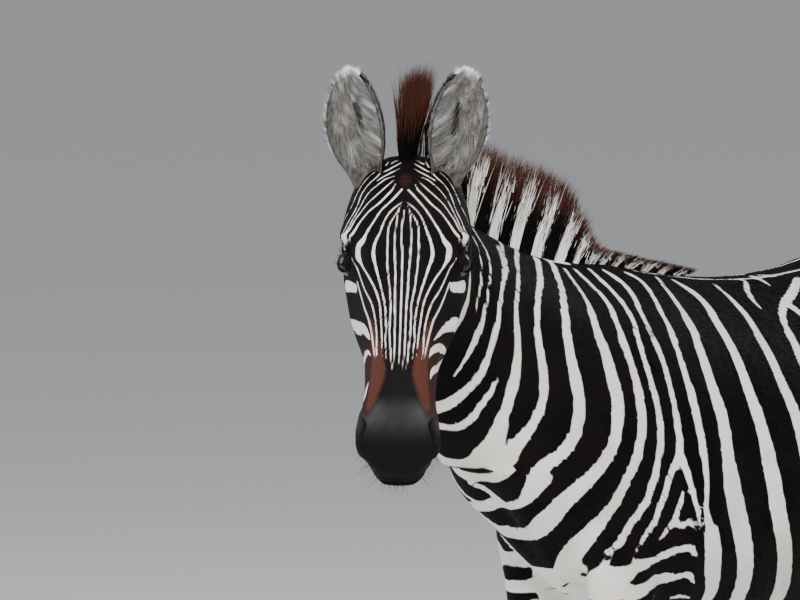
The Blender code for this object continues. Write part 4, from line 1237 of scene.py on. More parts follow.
def grownHair(name, hair, material, sides=3, rings=1):
    # hair: root, lie, out, size (thickness, half-width, length), bend, place on the unwrap, and values
    count = len(hair["root"])
    mesh = bpy.data.meshes.new(name + "Roots")
    mesh.vertices.add(count)
    mesh.vertices.foreach_set("co", np.asarray(hair["root"], np.float32).ravel())
    for label in ("lie", "out", "size", "bend"):
        setAttribute(mesh, label, "FLOAT_VECTOR", hair[label])
    setAttribute(mesh, "strand", "INT", np.arange(count))
    obj = linked(name, mesh)
    grow = obj.modifiers.new("grow", "NODES")
    grow.node_group = hairTree
    inputs = {s.name: s.identifier for s in hairTree.interface.items_tree if s.in_out == "INPUT"}
    grow[inputs["sides"]], grow[inputs["rings"]], grow[inputs["finish"]] = sides, rings, material
    settled(obj)
    mesh = obj.data
    strand, share = getAttribute(mesh, "strand", np.int32), getAttribute(mesh, "share")
    for label in ("lie", "out", "size", "bend", "strand", "share"):
        mesh.attributes.remove(mesh.attributes[label])
    for label, (atRoot, atTip) in hair["values"].items():
        setAttribute(mesh, label, "FLOAT", atRoot[strand] + (atTip[strand] - atRoot[strand]) * share)
    corners = fetched(mesh.loops, "vertex_index", 1, np.int32)
    starts, totals = (fetched(mesh.polygons, field, 1, np.int32) for field in ("loop_start", "loop_total"))
    turn = np.arange(len(corners)) - np.repeat(starts, totals)
    patch = np.stack([np.where(turn % 3 == 1, 1.0, 0.0), share[corners]], 1) * bakePatch
    uv = mesh.uv_layers.get("OFBake") or mesh.uv_layers.new(name="OFBake")
    spot = hair["place"][strand[corners]] * (1 - 2 * bakePatch) + patch
    uv.data.foreach_set("uv", spot.astype(np.float32).ravel())
    mesh.polygons.foreach_set("use_smooth", np.zeros(len(mesh.polygons), bool))
    print(name, count, "strands,", int((totals - 2).sum()), "triangles")
    return obj


hairTree = strandTree()


def aboutAxis(points, origin, axis, upWay):
    # an unwrap of a long form: turn about its axis, and length
    axis = unit(axis)
    side = unit(np.cross(upWay, axis))
    upAxis = np.cross(axis, side)
    offset = points - np.asarray(origin, float)
    turn = np.arctan2(offset @ side, offset @ upAxis) / (2 * math.pi) + 0.5
    length = offset @ axis
    return np.stack([turn, (length - length.min()) / max(np.ptp(length), 1e-6)], 1)


# Finishes. Each coat shader mixes black, white and chestnut by the same two attributes.
coatLook = {
    "roughness": 0.62,
    "skinGloss": 0.05,
    "hairGloss": 0.02,
    "skinEdge": 0.22,  # half of the step from black to white, in the attribute's own measure
    "hairEdge": 0.5,
    "tone": (0.82, 0.30),  # brightness of a hair: the least, and what its own tone adds
}

coatColours = {
    "black": (0.0022, 0.0020, 0.0025, 1),
    "blackWorn": (0.0060, 0.0042, 0.0042, 1),
    "white": (0.84, 0.83, 0.81, 1),
    "whiteWarm": (0.72, 0.68, 0.63, 1),
    "chestnut": (0.072, 0.025, 0.018, 1),
    "muzzle": (0.0032, 0.0030, 0.0038, 1),
    # painted highlight of the muzzle: grey where light falls on the black nose
    "muzzlePaintedSheen": (0.062, 0.060, 0.067, 1),
}


def newMaterial(name):
    material = bpy.data.materials.new(name)
    material.use_nodes = True
    tree = material.node_tree
    return material, tree, tree.nodes["Principled BSDF"]


def mixed(tree, share, first, second):
    # a colour mix; each end is a colour or a socket
    return addNode(tree, "ShaderNodeMix", {0: share, 6: first, 7: second}, data_type="RGBA").outputs[2]


def ranged(tree, value, low, high):
    # 0 at low, 1 at high, smooth between
    ends = {"Value": value, "From Min": low, "From Max": high}
    return addNode(tree, "ShaderNodeMapRange", ends, interpolation_type="SMOOTHSTEP").outputs["Result"]


def noised(tree, scale, detail=3.0, stretch=None, rough=0.55):
    # an even noise, or one stretched along the axes
    place = addNode(tree, "ShaderNodeTexCoord").outputs["Object"]
    if stretch:
        place = addNode(tree, "ShaderNodeMapping", {"Vector": place, "Scale": stretch}).outputs["Vector"]
    look = {"Vector": place, "Scale": scale, "Detail": detail, "Roughness": rough}
    return addNode(tree, "ShaderNodeTexNoise", look).outputs["Fac"]


def bumped(tree, shader, height, strength, distance):
    bump = addNode(tree, "ShaderNodeBump", {"Strength": strength, "Distance": distance, "Height": height})
    setInputs(shader, {"Normal": bump.outputs["Normal"]})


def summed(tree, first, second, share):
    # the first plus a share of the second
    inputs = {0: second, 1: share, 2: first}
    return addNode(tree, "ShaderNodeMath", inputs, operation="MULTIPLY_ADD").outputs[0]


def attributeOf(tree, name):
    return addNode(tree, "ShaderNodeAttribute", attribute_type="GEOMETRY", attribute_name=name).outputs["Fac"]


def coatMaterial(name, onSkin=False):
    material, tree, shader = newMaterial(name)
    edge = coatLook["skinEdge" if onSkin else "hairEdge"]
    patches, fine = noised(tree, 9, 2), noised(tree, 240, 2)
    white = attributeOf(tree, "white")
    if onSkin:
        steeper = {0: white, 1: attributeOf(tree, "crisp")}
        white = addNode(tree, "ShaderNodeMath", steeper, operation="MULTIPLY").outputs[0]
    worn = ranged(tree, summed(tree, patches, fine, 0.3), 0.45, 0.85)
    warm = ranged(tree, summed(tree, patches, fine, 0.4), 0.50, 0.95)
    blackTone = mixed(tree, worn, coatColours["black"], coatColours["blackWorn"])
    whiteTone = mixed(tree, warm, coatColours["white"], coatColours["whiteWarm"])
    brown = ranged(tree, attributeOf(tree, "brown"), 0.15, 0.85)
    darkTone = mixed(tree, brown, blackTone, coatColours["chestnut"])
    tone = mixed(tree, ranged(tree, white, -edge, edge), darkTone, whiteTone)
    if onSkin:
        # the muzzle's black, lightened by a painted highlight where light falls on the nose
        sheen = attributeOf(tree, "sheen")
        muzzleTone = mixed(tree, sheen, coatColours["muzzle"], coatColours["muzzlePaintedSheen"])
        tone = mixed(tree, attributeOf(tree, "muzzle"), tone, muzzleTone)
        bumped(tree, shader, noised(tree, 700, 2, (1, 1, 0.35)), 0.35, 0.0012)
    else:
        least, more = coatLook["tone"]
        light = {0: attributeOf(tree, "tone"), 1: more, 2: least}
        light = addNode(tree, "ShaderNodeMath", light, operation="MULTIPLY_ADD").outputs[0]
        tone = addNode(tree, "ShaderNodeHueSaturation", {"Value": light, "Color": tone}).outputs["Color"]
    setInputs(shader, {
        "Base Color": tone,
        "Roughness": coatLook["roughness"],
        "Specular IOR Level": coatLook["skinGloss" if onSkin else "hairGloss"],
    })
    return material


skinFinish = coatMaterial("coatUnder", onSkin=True)
coatFinish, maneFinish, earFinish, tailFinish = (
    coatMaterial(name) for name in ("coatFur", "maneHair", "earHair", "tailHair")
)

skinMarks = {
    "bodyRamp": 0.0060,  # metres from black to white, over which the share of white is averaged
    "headRamp": 0.0016,
    "bolder": 0.0010,  # fine strokes of the neck stay whole
    "crisp": 2.2,  # how much steeper the step is on the body
    "cup": 0.36,  # grey skin inside the ear
}


def markSkin(mesh, points):
    # the share of white round each point, so that thin strokes keep their weight and edges run smoothly
    edges = meshEdges(mesh)
    white, brown = markings(points)
    onEar = getAttribute(mesh, "onEar") > 0.5
    middles = (points[edges[:, 0]] + points[edges[:, 1]]) / 2
    between, _ = markings(middles)
    head = eased((headShare(points) - 0.25) / 0.3)
    ramp = skinMarks["bodyRamp"] + (skinMarks["headRamp"] - skinMarks["bodyRamp"]) * head
    bolder = skinMarks["bolder"] * (1 - head) * eased((-0.30 - points[:, 1]) / 0.1)
    white, between = white + bolder, between + (bolder[edges[:, 0]] + bolder[edges[:, 1]]) / 2
    total, count = np.clip(white / ramp + 0.5, 0, 1) * 2, np.full(len(points), 2.0)
    for end in range(2):
        part = np.clip(between / ramp[edges[:, end]] + 0.5, 0, 1)
        total += np.bincount(edges[:, end], part, len(points))
        count += np.bincount(edges[:, end], minlength=len(points))
    setPoints(mesh, points)
    inside = earInside(points, meshNormals(mesh))[onEar]
    cup = skinMarks["cup"] + 0.03 * smoothNoise(points[onEar], 0.012, 30)
    total[onEar] = np.where(inside, cup, np.clip(earMarks(points[onEar]) / 0.004 + 0.5, 0, 1))
    count[onEar] = 1
    crisp = skinMarks["crisp"] + (1 - skinMarks["crisp"]) * head
    crisp[onEar] = 1
    setAttribute(mesh, "white", "FLOAT", total / count - 0.5)
    setAttribute(mesh, "crisp", "FLOAT", crisp)
    setAttribute(mesh, "brown", "FLOAT", brown)
    setAttribute(mesh, "muzzle", "FLOAT", muzzleShare(points))
    # painted highlight on the muzzle, with painted shade in the nostrils
    setAttribute(mesh, "sheen", "FLOAT", muzzlePaintedSheen(points))


# The coat: flat tufts that overlap, smallest on the face and feet.
coatForm = {
    # piece: tufts, then (length, half-width, thickness) in mm
    "coatHead": (48000, (5.2, 0.55, 0.22)),
    "coatNeck": (48000, (9.5, 0.95, 0.40)),
    "coatShoulders": (48000, (11.0, 1.15, 0.45)),
    "coatLeftSide": (36000, (12.0, 1.40, 0.50)),
    "coatRightSide": (34000, (12.0, 1.40, 0.50)),
    "coatHaunches": (46000, (12.0, 1.40, 0.50)),
    "coatForelegs": (34000, (9.0, 1.05, 0.40)),
    "coatHindlegs": (32000, (9.0, 1.10, 0.40)),
    "lift": 0.10,  # how far the tip rises, as a share of the length
    "sunk": 0.0007,
    "seed": 17,
}


def coatRegions(points):
    names = [n for n in coatForm if n.startswith("coat")]
    x, y, z = points.T
    head = (headShare(points) > 0.5) & (headPlaces(points)[:, 0] > -0.03)
    region = np.select(
        [head, (z > 0.88) & (y < -0.47), (z < 0.80) & (y < -0.14), (z < 0.72) & (y > 0.30), y < -0.14,
         (y < 0.30) & (x >= 0), y < 0.30],
        [names.index(n) for n in ("coatHead", "coatNeck", "coatForelegs", "coatHindlegs", "coatShoulders",
                                  "coatLeftSide", "coatRightSide")],
        names.index("coatHaunches"),
    )
    return names, region


def lieWay(points):
    # the way the hair lies: from the whorl over the face, down and back on the body
    places = headPlaces(points)
    poll, down, up = headAxes()
    away = points - onHead(0.034, 0, 0.0)
    faceWay = away + 0.25 * down * np.abs(away).sum(1)[:, None]
    jaw = eased((-0.05 - places[:, 2]) / 0.06)[:, None]
    faceWay = faceWay / lengthsOf(faceWay)[:, None]
    faceWay = faceWay * (1 - 0.5 * jaw) + jaw * (0.5 * down - 0.25 * up)
    head = headShare(points)[:, None]
    low = eased((0.80 - points[:, 2]) / 0.25)[:, None]
    neck = eased((-0.40 - points[:, 1]) / 0.20)[:, None]
    body = np.array((0, 0.86, -0.42)) * (1 - neck) + np.array((0, 0.45, -0.72)) * neck
    haunch = eased((points[:, 1] - 0.35) / 0.2)[:, None]
    body = body * (1 - haunch) + np.array((0, 0.55, -0.75)) * haunch
    body = body * (1 - low) + np.array((0, 0.12, -1.0)) * low
    swirl = 0.12 * smoothNoise(points, 0.12, 31)[:, None] * np.array((0, 0.6, 0.8))
    return faceWay * head + (body + swirl) * (1 - head)


def hairScale(points):
    # smaller hair toward the eyes, the muzzle and the feet
    places = headPlaces(points)
    places[:, 1] = np.abs(places[:, 1])
    head = headShare(points) > 0.5
    scale = 1 - 0.35 * eased((0.45 - points[:, 2]) / 0.3) - 0.35 * eased((-0.56 - points[:, 1]) / 0.12)
    muzzle = eased((places[:, 0] - 0.33) / 0.08)
    near = lengthsOf(places - headForm["eyeAt"])
    face = 1 - 0.50 * muzzle - 0.42 * eased((0.050 - near) / 0.02) * (1 - muzzle)
    cheek = eased((-0.04 - places[:, 2]) / 0.05) * (1 - muzzle)
    return np.where(head, face + 0.30 * cheek, scale)


def bareShare(points):
    # no hair in the eyes, nostrils and mouth
    places = headPlaces(points)
    places[:, 1] = np.abs(places[:, 1])
    onIt = headShare(points) > 0.5
    gap, reach, facing, high = eyeOpening(places)
    eye = (gap > -0.0022) & (reach < 0.04) & (facing > 0.2)
    u, v, away = nostrilPlace(places)
    nose = (u**2 + v**2 < 1.9) & (away < 0.03)
    lips = (lineDistance(places[:, ::2], mouth["line"]) < 0.0035) & (places[:, 0] > 0.425)
    thin = (places[:, 0] > 0.43) & (np.sin(points @ (7100, 9300, 8300)) > -0.45)
    feet = points[:, 2] < 0.058
    return (onIt & (eye | nose | lips | thin)) | feet


def skinTriangles(mesh):
    # the triangles of the body and dock, and those of the ears
    mesh.calc_loop_triangles()
    triangles = fetched(mesh.loop_triangles, "vertices", 3, np.int32)
    onEar = getAttribute(mesh, "onEar")[triangles[:, 0]] > 0.5
    return triangles[~onEar], triangles[onEar]


def scattered(straightPoints, triangles, count, rng):
    # random places, closer together where the hair is smaller
    a, b, c = (straightPoints[triangles[:, i]] for i in range(3))
    area = lengthsOf(np.cross(b - a, c - a))
    weight = area / hairScale((a + b + c) / 3) ** 1.7
    total = np.cumsum(weight)
    pick = np.minimum(np.searchsorted(total, rng.random(count) * total[-1]), len(triangles) - 1)
    r, s = np.sqrt(rng.random(count)), rng.random(count)
    shares = np.stack([1 - r, r * (1 - s), r * s], 1)
    return triangles[pick], shares


def blendOf(values, corners, shares):
    return (values[corners] * shares[..., None]).sum(1)


def across(vectors, normals):
    return unitRows(vectors - normals * (vectors * normals).sum(1)[:, None])


def turnedWay(points, ways, reach=0.004):
    # a direction of the straight body, in the pose
    return unitRows(posed(points + ways * reach) - posed(points))


def hairSize(size, scale, length):
    # thickness, half-width and length in metres; the first two come in mm
    thick, half = size
    return np.stack([thick / 1000 * scale, half / 1000 * scale, length], 1)


def coatPiece(name, place, triangles, skinNow, normalsNow, normalsStraight, rng):
    count, (length, half, thick) = coatForm[name]
    corners, shares = scattered(straight, triangles, count, rng)
    root = blendOf(straight, corners, shares)
    keep = ~bareShare(root)
    corners, shares, root = corners[keep], shares[keep], root[keep]
    count = len(root)
    out = unitRows(blendOf(normalsNow, corners, shares))
    plainOut = unitRows(blendOf(normalsStraight, corners, shares))
    way = across(lieWay(root), plainOut)
    way = across(way + 0.13 * rng.normal(0, 1, (count, 3)), plainOut)
    scale = hairScale(root) * rng.uniform(0.72, 1.18, count)
    reach = length / 1000 * scale
    lie = across(turnedWay(root, way), out)
    lie = unitRows(lie + out * coatForm["lift"] * rng.uniform(0.5, 1.3, count)[:, None])
    rootWhite, rootBrown = markings(root)
    tipWhite, tipBrown = markings(root + way * reach[:, None] * 0.95)
    midWhite, midBrown = markings(root + way * reach[:, None] * 0.5)
    crossing = (rootWhite * tipWhite > 0) & (rootWhite * midWhite < 0)
    reach = np.where(crossing, reach * 0.52, reach)  # hair that would cross a fine stroke stops in it
    tipWhite = np.where(crossing, midWhite, tipWhite)
    tone = rng.random(count)
    hair = {
        "root": blendOf(skinNow, corners, shares) - out * coatForm["sunk"] * scale[:, None],
        "lie": lie,
        "out": out,
        "size": hairSize((thick, half), scale, reach),
        "bend": np.zeros((count, 3)),
        "place": place(root),
        "values": hairValues((rootWhite * 1000, tipWhite * 1000), (rootBrown, tipBrown), (tone, tone)),
    }
    piece = grownHair(name, hair, coatFinish)
    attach(piece, "root")
    return piece


def coatPlaces(name):
    # the unwrap of each coat piece: turn about a line through it, and the way along it
    poll, down, up = headAxes()
    if name == "coatHead":
        return lambda p: aboutAxis(p, onHead(0, 0, -0.10), down, up)
    if name == "coatNeck":
        return lambda p: aboutAxis(p, (0, -0.50, 1.12), (0, -0.80, 0.62), (0, 0.62, 0.80))
    if name.endswith("legs"):
        def legPlaces(points):
            rows = bodyForm[name[4:-1].lower()][::-1]
            side = np.where(points[:, 0] < 0, -1, 1)
            x = points[:, 0] * side - np.interp(points[:, 2], rows[:, 2], rows[:, 0])
            y = points[:, 1] - np.interp(points[:, 2], rows[:, 2], rows[:, 1])
            turn = np.arctan2(x, -y) / (2 * math.pi) + 0.5
            return np.stack([(turn + (side < 0)) * 0.5, points[:, 2] / 0.85], 1)
        return legPlaces
    return lambda p: aboutAxis(p, (0, 0, 0.93), (0, 1, 0), (0, 0, 1))


def dressCoat(mesh):
    triangles, earTriangles = skinTriangles(mesh)
    skinNow, normalsNow = meshPoints(mesh), meshNormals(mesh)
    plain = mesh.copy()
    setPoints(plain, straight)
    normalsStraight = meshNormals(plain)
    names, region = coatRegions(straight[triangles].mean(1))
    for index, name in enumerate(names):
        rng = np.random.default_rng(coatForm["seed"] + index)
        faces = triangles[region == index]
        coatPiece(name, coatPlaces(name), faces, skinNow, normalsNow, normalsStraight, rng)
    withEarFur(mesh, earTriangles, normalsNow, normalsStraight)
    withFineHair(mesh, triangles, normalsStraight)


# Mane: a standing brush along the crest, in bands that carry on the strokes of the neck.
maneForm = {
    # foot (y, z), tip (y, z), half-thickness at the foot and the tip, in mm
    "rows": (
        (-934, 1468, -978, 1622, 6, 21),
        (-920, 1468, -952, 1638, 9, 26),
        (-900, 1462, -912, 1618, 13, 19),
        (-840, 1444, -815, 1600, 16, 12),
        (-760, 1410, -712, 1574, 16, 10),
        (-670, 1370, -608, 1520, 16, 10),
        (-580, 1334, -505, 1478, 15, 9),
        (-490, 1298, -412, 1444, 15, 8),
        (-420, 1279, -350, 1418, 14, 8),
        (-365, 1270, -308, 1362, 12, 7),
        (-300, 1262, -262, 1304, 10, 5),
        (-240, 1262, -208, 1288, 7, 4),
        (-180, 1254, -148, 1275, 6, 4),
        (-110, 1243, -78, 1262, 6, 4),
        (-40, 1234, -10, 1248, 5, 3),
    ),
    "lean": 0.16,
    "strands": 12300,
    "fringe": 6500,
    "size": (0.8, 1.15),  # thickness and half-width in mm
    # middle of each white band along the crest, and its half-width, in mm
    "whiteShare": 0.86,
    "white": (
        (-895, 10), (-845, 11), (-790, 11), (-735, 12), (-675, 12), (-612, 13),
        (-550, 14), (-498, 13), (-443, 14), (-386, 11), (-341, 9), (-302, 8),
        (-268, 9), (-232, 9), (-192, 10), (-150, 10), (-104, 10), (-60, 9),
    ),
    "forelockEnd": -0.908,
    # where a hair turns brown, as a share of its length, and how brown its tip is
    "forelockBrown": ((0.36, 0.66), (1.2, 2.0)),
    "crestBrown": ((0.56, 0.78), (0.9, 1.5)),
    "whiteTo": (0.62, 0.86),  # where a white hair ends in brown
    "whiteTone": (-0.6, 1.0),  # tone of the tips
    "darkTone": (-1.5, 0.8),
    "withers": (-0.32, 0.10, 0.9),  # the hair behind here, over this distance, is so much less brown
    "forelockFiner": 0.65,
    "bend": ((0, 0.005), (0.010, 0.004), (-0.004, 0.002)),  # middle and spread, to the side, back and up
    "clump": 0.005,
    "seed": 7,
}


def plainRows(rows, share):
    # a row of a table at any place along it
    rows = crossed(np.array(rows) / 1000, 8)
    at = np.clip(share, 0, 1) * (len(rows) - 1)
    low = np.minimum(at.astype(int), len(rows) - 2)
    return rows[low] + (rows[low + 1] - rows[low]) * (at - low)[:, None]


def hairFrom(root, tip, bend, size, values, place, out=None):
    # strands between two places of the straight body, carried into the pose
    start, end = posed(root), posed(tip)
    bend = posed(root + bend) - start
    way = end - bend - start
    length = lengthsOf(way)
    lie = way / length[:, None]
    if out is None:
        out = np.tile((1.0, 0.2, 0.1), (len(root), 1))
    size = hairSize(size, np.ones(len(root)), length)
    hair = {"root": start, "lie": lie, "out": across(out, lie), "size": size}
    return {**hair, "bend": bend, "values": values, "place": place}


def withMane():
    rng = np.random.default_rng(maneForm["seed"])
    count = maneForm["strands"]
    share = rng.random(count)
    row = plainRows(maneForm["rows"], share)
    tipRow = plainRows(maneForm["rows"], np.clip(share + rng.normal(0, 0.006, count), 0, 1))
    across01 = rng.uniform(-1, 1, count)
    root = np.stack([across01 * row[:, 4], row[:, 0], row[:, 1]], 1)
    clump = smoothNoise(np.stack([share * 0.9, across01 * 0.02, 0 * share], 1), 0.009, 12)
    tufted = smoothNoise(np.stack([share * 0.9, across01 * 0.024, 0 * share + 0.3], 1), 0.016, 13)
    tipSide = across01 * tipRow[:, 5] + clump * maneForm["clump"] + rng.normal(0, 0.004, count)
    tip = np.stack([tipSide, tipRow[:, 2], tipRow[:, 3]], 1)
    tip[:, 1] += clump * 0.006 + rng.normal(0, 0.006, count)
    front = eased((-0.80 - root[:, 1]) / 0.14)
    tip[:, 0] += front * (0.010 * clump + 0.005 * rng.normal(0, 1, count))
    long = 1.02 - (0.22 + 0.16 * front) * rng.random(count) ** 2.4 - 0.06 * np.abs(clump) + 0.055 * tufted
    long -= front * (0.05 * np.abs(across01) ** 3 + 0.07 * np.abs(tufted))
    tip = root + (tip - root) * long[:, None]
    for points in (root, tip):
        points[:, 0] += maneForm["lean"] * front * np.maximum(points[:, 2] - 1.482, -0.02)
    bend = [mean + rng.normal(0, off, count) for mean, off in maneForm["bend"]]
    bend = np.stack(bend, 1)
    middles = np.array(maneForm["white"]) / 1000
    place = root[:, 1] + rng.normal(0, 0.0025, count)
    white = (middles[:, 1] * maneForm["whiteShare"] - np.abs(place[:, None] - middles[:, 0])).max(1) * 1000
    forelock = root[:, 1] < maneForm["forelockEnd"]
    white = np.where(forelock, -6, white)
    edge = rng.uniform(*maneForm["whiteTo"], count)
    tipWhite = np.where(white > 0, -white * (1 - edge) / edge, white)
    start, brownTip = (
        np.where(forelock, rng.uniform(*front, count), rng.uniform(*back, count))
        for front, back in zip(maneForm["forelockBrown"], maneForm["crestBrown"])
    )
    behind, over, less = maneForm["withers"]
    brownTip -= less * eased((root[:, 1] - behind) / over)
    brownRoot = 0.5 - np.maximum(brownTip - 0.5, 0.1) * start / (1 - start)
    tone = rng.random(count)
    tones = [rng.uniform(*maneForm[k], count) for k in ("whiteTone", "darkTone")]
    values = hairValues((white, tipWhite), (brownRoot, brownTip), (tone, np.where(white > 0, *tones)))
    spread = np.stack([share, 0.5 + 0.45 * across01], 1)
    thick, half = maneForm["size"]
    finer = np.where(forelock, maneForm["forelockFiner"], 1)
    hair = hairFrom(root, tip, bend, (thick * finer, half * finer), values, spread)
    piece = grownHair("maneHair", hair, maneFinish, rings=3)
    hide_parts("mane")
    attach(piece, "root")
    # shorter hair that starts half way up and thickens the fringe
    few = rng.random(count) < maneForm["fringe"] / count
    few &= ~forelock
    start = rng.uniform(0.45, 0.66, count)[:, None]
    slip = np.stack([0.006 * rng.normal(0, 1, count), 0.006 * rng.normal(0, 1, count), 0 * share], 1)
    tipNow = tip + slip + (tip - root) * rng.uniform(-0.04, 0.03, count)[:, None]
    rootNow = root + (tip - root) * start + bend * start**2
    starts = {label: low + (high - low) * start[:, 0] for label, (low, high) in values.items()}
    values = {label: (starts[label][few], values[label][1][few]) for label in values}
    hair = hairFrom(rootNow[few], tipNow[few], bend[few] * 0.3, maneForm["size"], values, spread[few])
    fringe = grownHair("maneFringe", hair, maneFinish, rings=2)
    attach(fringe, "root")


# Ears: pale hair in the cup, a dark rim and short fur behind.
earHairForm = {
    "inner": 9600,
    "rim": 2600,
    "fur": 12000,
    "innerLength": (0.024, 0.020),  # in the middle, and how much more at the edge
    "rimLength": 0.009,
    "furLength": 0.0065,
    "innerSize": (0.20, 0.32),  # thickness and half-width in mm
    "furSize": (0.22, 0.7),
    "hollow": (0.34, 0.66, 0.12),  # the dark hollow: from, to, half-width
    "whiteTip": 0.91,
    "whiteFoot": 0.10,
    "seed": 40,
}


def earRow(share):
    rows = crossed(np.array(earForm["rows"], float), 4)
    return [np.interp(share, rows[:, 0], rows[:, c]) for c in range(4)]


def earMarks(points):
    # white at the tip and the foot, black between
    marks = np.full(len(points), -0.01)
    for side in (1, -1):
        near = points[:, 0] * side > 0
        root, up, front, sideways = earAxes(side)
        share = (points[near] - root) @ up / earForm["length"]
        edge = smoothNoise(points[near], 0.02, 4) * 0.02
        outer = (points[near] - root) @ sideways * side
        foot = earHairForm["whiteFoot"] - share + edge - 2.5 * np.maximum(0.012 - outer, 0)
        white = np.maximum(share - earHairForm["whiteTip"] + edge, foot)
        marks[near] = white * earForm["length"]
    return marks


def earInside(points, normals):
    # 1 in the cup, 0 behind
    fronts = np.where(points[:, :1] > 0, earAxes(1)[2], earAxes(-1)[2])
    share = (points[:, 2] - 1.45) / 0.17
    return ((normals * fronts).sum(1) > 0.25) & (share < 0.90)


def withEarHair():
    rng = np.random.default_rng(earHairForm["seed"])
    roots, tips, bends, outs, whites, places = [], [], [], [], [], []
    middle, more = earHairForm["innerLength"]
    low, high, wide = earHairForm["hollow"]
    for side in (1, -1):
        root0, up, front, sideways = earAxes(side)
        for kind in ("inner", "rim"):
            for _ in range(earHairForm[kind] // 2):
                share = 0.06 + 0.90 * rng.random() ** 0.9
                if kind == "inner":
                    t = rng.uniform(-0.84, 0.84)
                    if rng.random() < 0.35:
                        t = -side * rng.uniform(0.30, 0.84)  # thicker along the edge toward the forelock
                    place = np.array(earPoint(side, share, t, 0.0, earRow(share)))
                    edge = abs(t) ** 2
                    length = (middle + more * edge) * rng.uniform(0.6, 1.2) * (1 - 0.50 * share)
                    fan = (side * 0.35 - 0.75 * t) * (0.4 + 0.6 * edge)
                    way = up * 0.80 + front * (0.16 + 0.22 * rng.random()) + sideways * fan
                    bend = front * -0.004 + sideways * rng.normal(0, 0.003)
                    tuft = math.sin(share * 31 + 3 * t) * math.sin(t * 9 + share * 12)
                    white = rng.uniform(-0.34, -0.02) + 0.30 * max(tuft, 0)
                    off = abs(t + 0.1 * side + 0.25 * (share - 0.5))
                    if off < wide and low < share < high and rng.random() < 0.8:
                        white = -0.6
                    if share > 0.90:
                        white = 1.0
                        length *= 0.6
                else:
                    t = rng.choice((-1, 1)) * rng.uniform(0.90, 1.0)
                    place = np.array(earPoint(side, share, t, 0.5, earRow(share)))
                    length = earHairForm["rimLength"] * rng.uniform(0.7, 1.2)
                    way = up * 0.75 + sideways * np.sign(t) * 0.35 + front * 0.25
                    bend = up * 0.001
                    pale = share > earHairForm["whiteTip"] or (t * side > 0.96 and rng.random() < 0.5)
                    white = 1.0 if pale else -1.0
                way = unit(way + rng.normal(0, 0.12, 3))
                roots.append(place)
                tips.append(place + way * length)
                bends.append(bend)
                outs.append(front)
                whites.append(white)
                places.append(((0.05 if side > 0 else 0.55) + 0.2 * (t + 1), share))
    roots, tips, bends, outs = (np.array(v) for v in (roots, tips, bends, outs))
    whites, places = np.array(whites), np.array(places)
    tone, plain = rng.random(len(roots)), -np.ones(len(roots))
    values = hairValues((whites, whites), (plain, plain), (tone, tone))
    hair = hairFrom(roots, tips, bends, earHairForm["innerSize"], values, places, outs)
    piece = grownHair("earHair", hair, earFinish, rings=2)
    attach(piece, "root")


def withEarFur(mesh, triangles, normalsNow, normalsStraight):
    rng = np.random.default_rng(earHairForm["seed"] + 1)
    corners, shares = scattered(straight, triangles, earHairForm["fur"], rng)
    root = blendOf(straight, corners, shares)
    keep = ~earInside(root, unitRows(blendOf(normalsStraight, corners, shares)))
    corners, shares, root = corners[keep], shares[keep], root[keep]
    count = len(root)
    out = unitRows(blendOf(normalsNow, corners, shares))
    ways = np.where(root[:, :1] > 0, earAxes(1)[1], earAxes(-1)[1])
    way = ways + rng.normal(0, 0.12, (count, 3))
    lie = unitRows(across(turnedWay(root, way), out) + out * 0.12)
    length = earHairForm["furLength"] * rng.uniform(0.7, 1.2, count)
    white = earMarks(root) * 1000
    tipWhite = earMarks(root + unitRows(way) * length[:, None]) * 1000
    tone, plain = rng.random(count), -np.ones(count)
    spread = np.stack([0.5 + root[:, 0] * 2.2, (root[:, 2] - 1.40) / 0.25], 1)
    hair = {
        "root": blendOf(meshPoints(mesh), corners, shares) - out * 0.0004,
        "lie": lie,
        "out": out,
        "size": hairSize(earHairForm["furSize"], np.ones(count), length),
        "bend": np.zeros((count, 3)),
        "place": np.clip(spread, 0.02, 0.98),
        "values": hairValues((white, tipWhite), (plain, plain), (tone, tone)),
    }
    piece = grownHair("coatEars", hair, coatFinish)
    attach(piece, "root")


# The tassel of the tail.
tassel = {
    "strands": 3000,
    "top": 0.93,
    "bottom": 0.80,
    "reach": 0.462,  # height of the lowest tips
    "uneven": 0.17,
    "tip": (0.7385, 0.010),  # where the tips gather, and how far round
    "spread": 0.10,
    "size": (0.7, 0.95),
    "seed": 70,
}


def withTassel():
    rng = np.random.default_rng(tassel["seed"])
    count = tassel["strands"]
    rows = bodyForm["dock"][::-1]
    z = tassel["bottom"] + (tassel["top"] - tassel["bottom"]) * rng.random(count) ** 1.8
    turn = rng.uniform(-math.pi, math.pi, count)
    y, wide, deep = (np.interp(z, rows[:, 2], rows[:, c]) for c in (1, 3, 4))
    around = np.stack([np.cos(turn), np.sin(turn), 0 * turn], 1)
    root = np.stack([np.cos(turn) * wide * 0.8, y + np.sin(turn) * deep * 0.8, z], 1)
    clump = smoothNoise(np.stack([np.cos(turn) * 0.05, np.sin(turn) * 0.05, z], 1), 0.02, 3)
    end = tassel["reach"] + tassel["uneven"] * rng.random(count) ** 1.6 + 0.35 * (z - tassel["bottom"])
    length = z - end
    middle, gather = tassel["tip"]
    tipSide, tipBack = gather * np.cos(turn) + clump * 0.006, middle + gather * np.sin(turn) + clump * 0.004
    tip = np.stack([tipSide, tipBack, end], 1)
    bend = -around * (tassel["spread"] * length * rng.uniform(0.7, 1.5, count))[:, None]
    pale = np.where((z > 0.87) & (rng.random(count) < 0.5), 1.0, -1.0)
    tone, plain = rng.random(count), -np.ones(count)
    values = hairValues((pale, plain), (plain, rng.uniform(-0.6, 0.7, count)), (tone, tone))
    spread = np.stack([turn / (2 * math.pi) + 0.5, (z - 0.78) / 0.2], 1)
    hair = hairFrom(root, tip, bend, tassel["size"], values, spread, around)
    piece = grownHair("tailTassel", hair, tailFinish, rings=4)
    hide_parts("tail_tuft")
    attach(piece, "root")


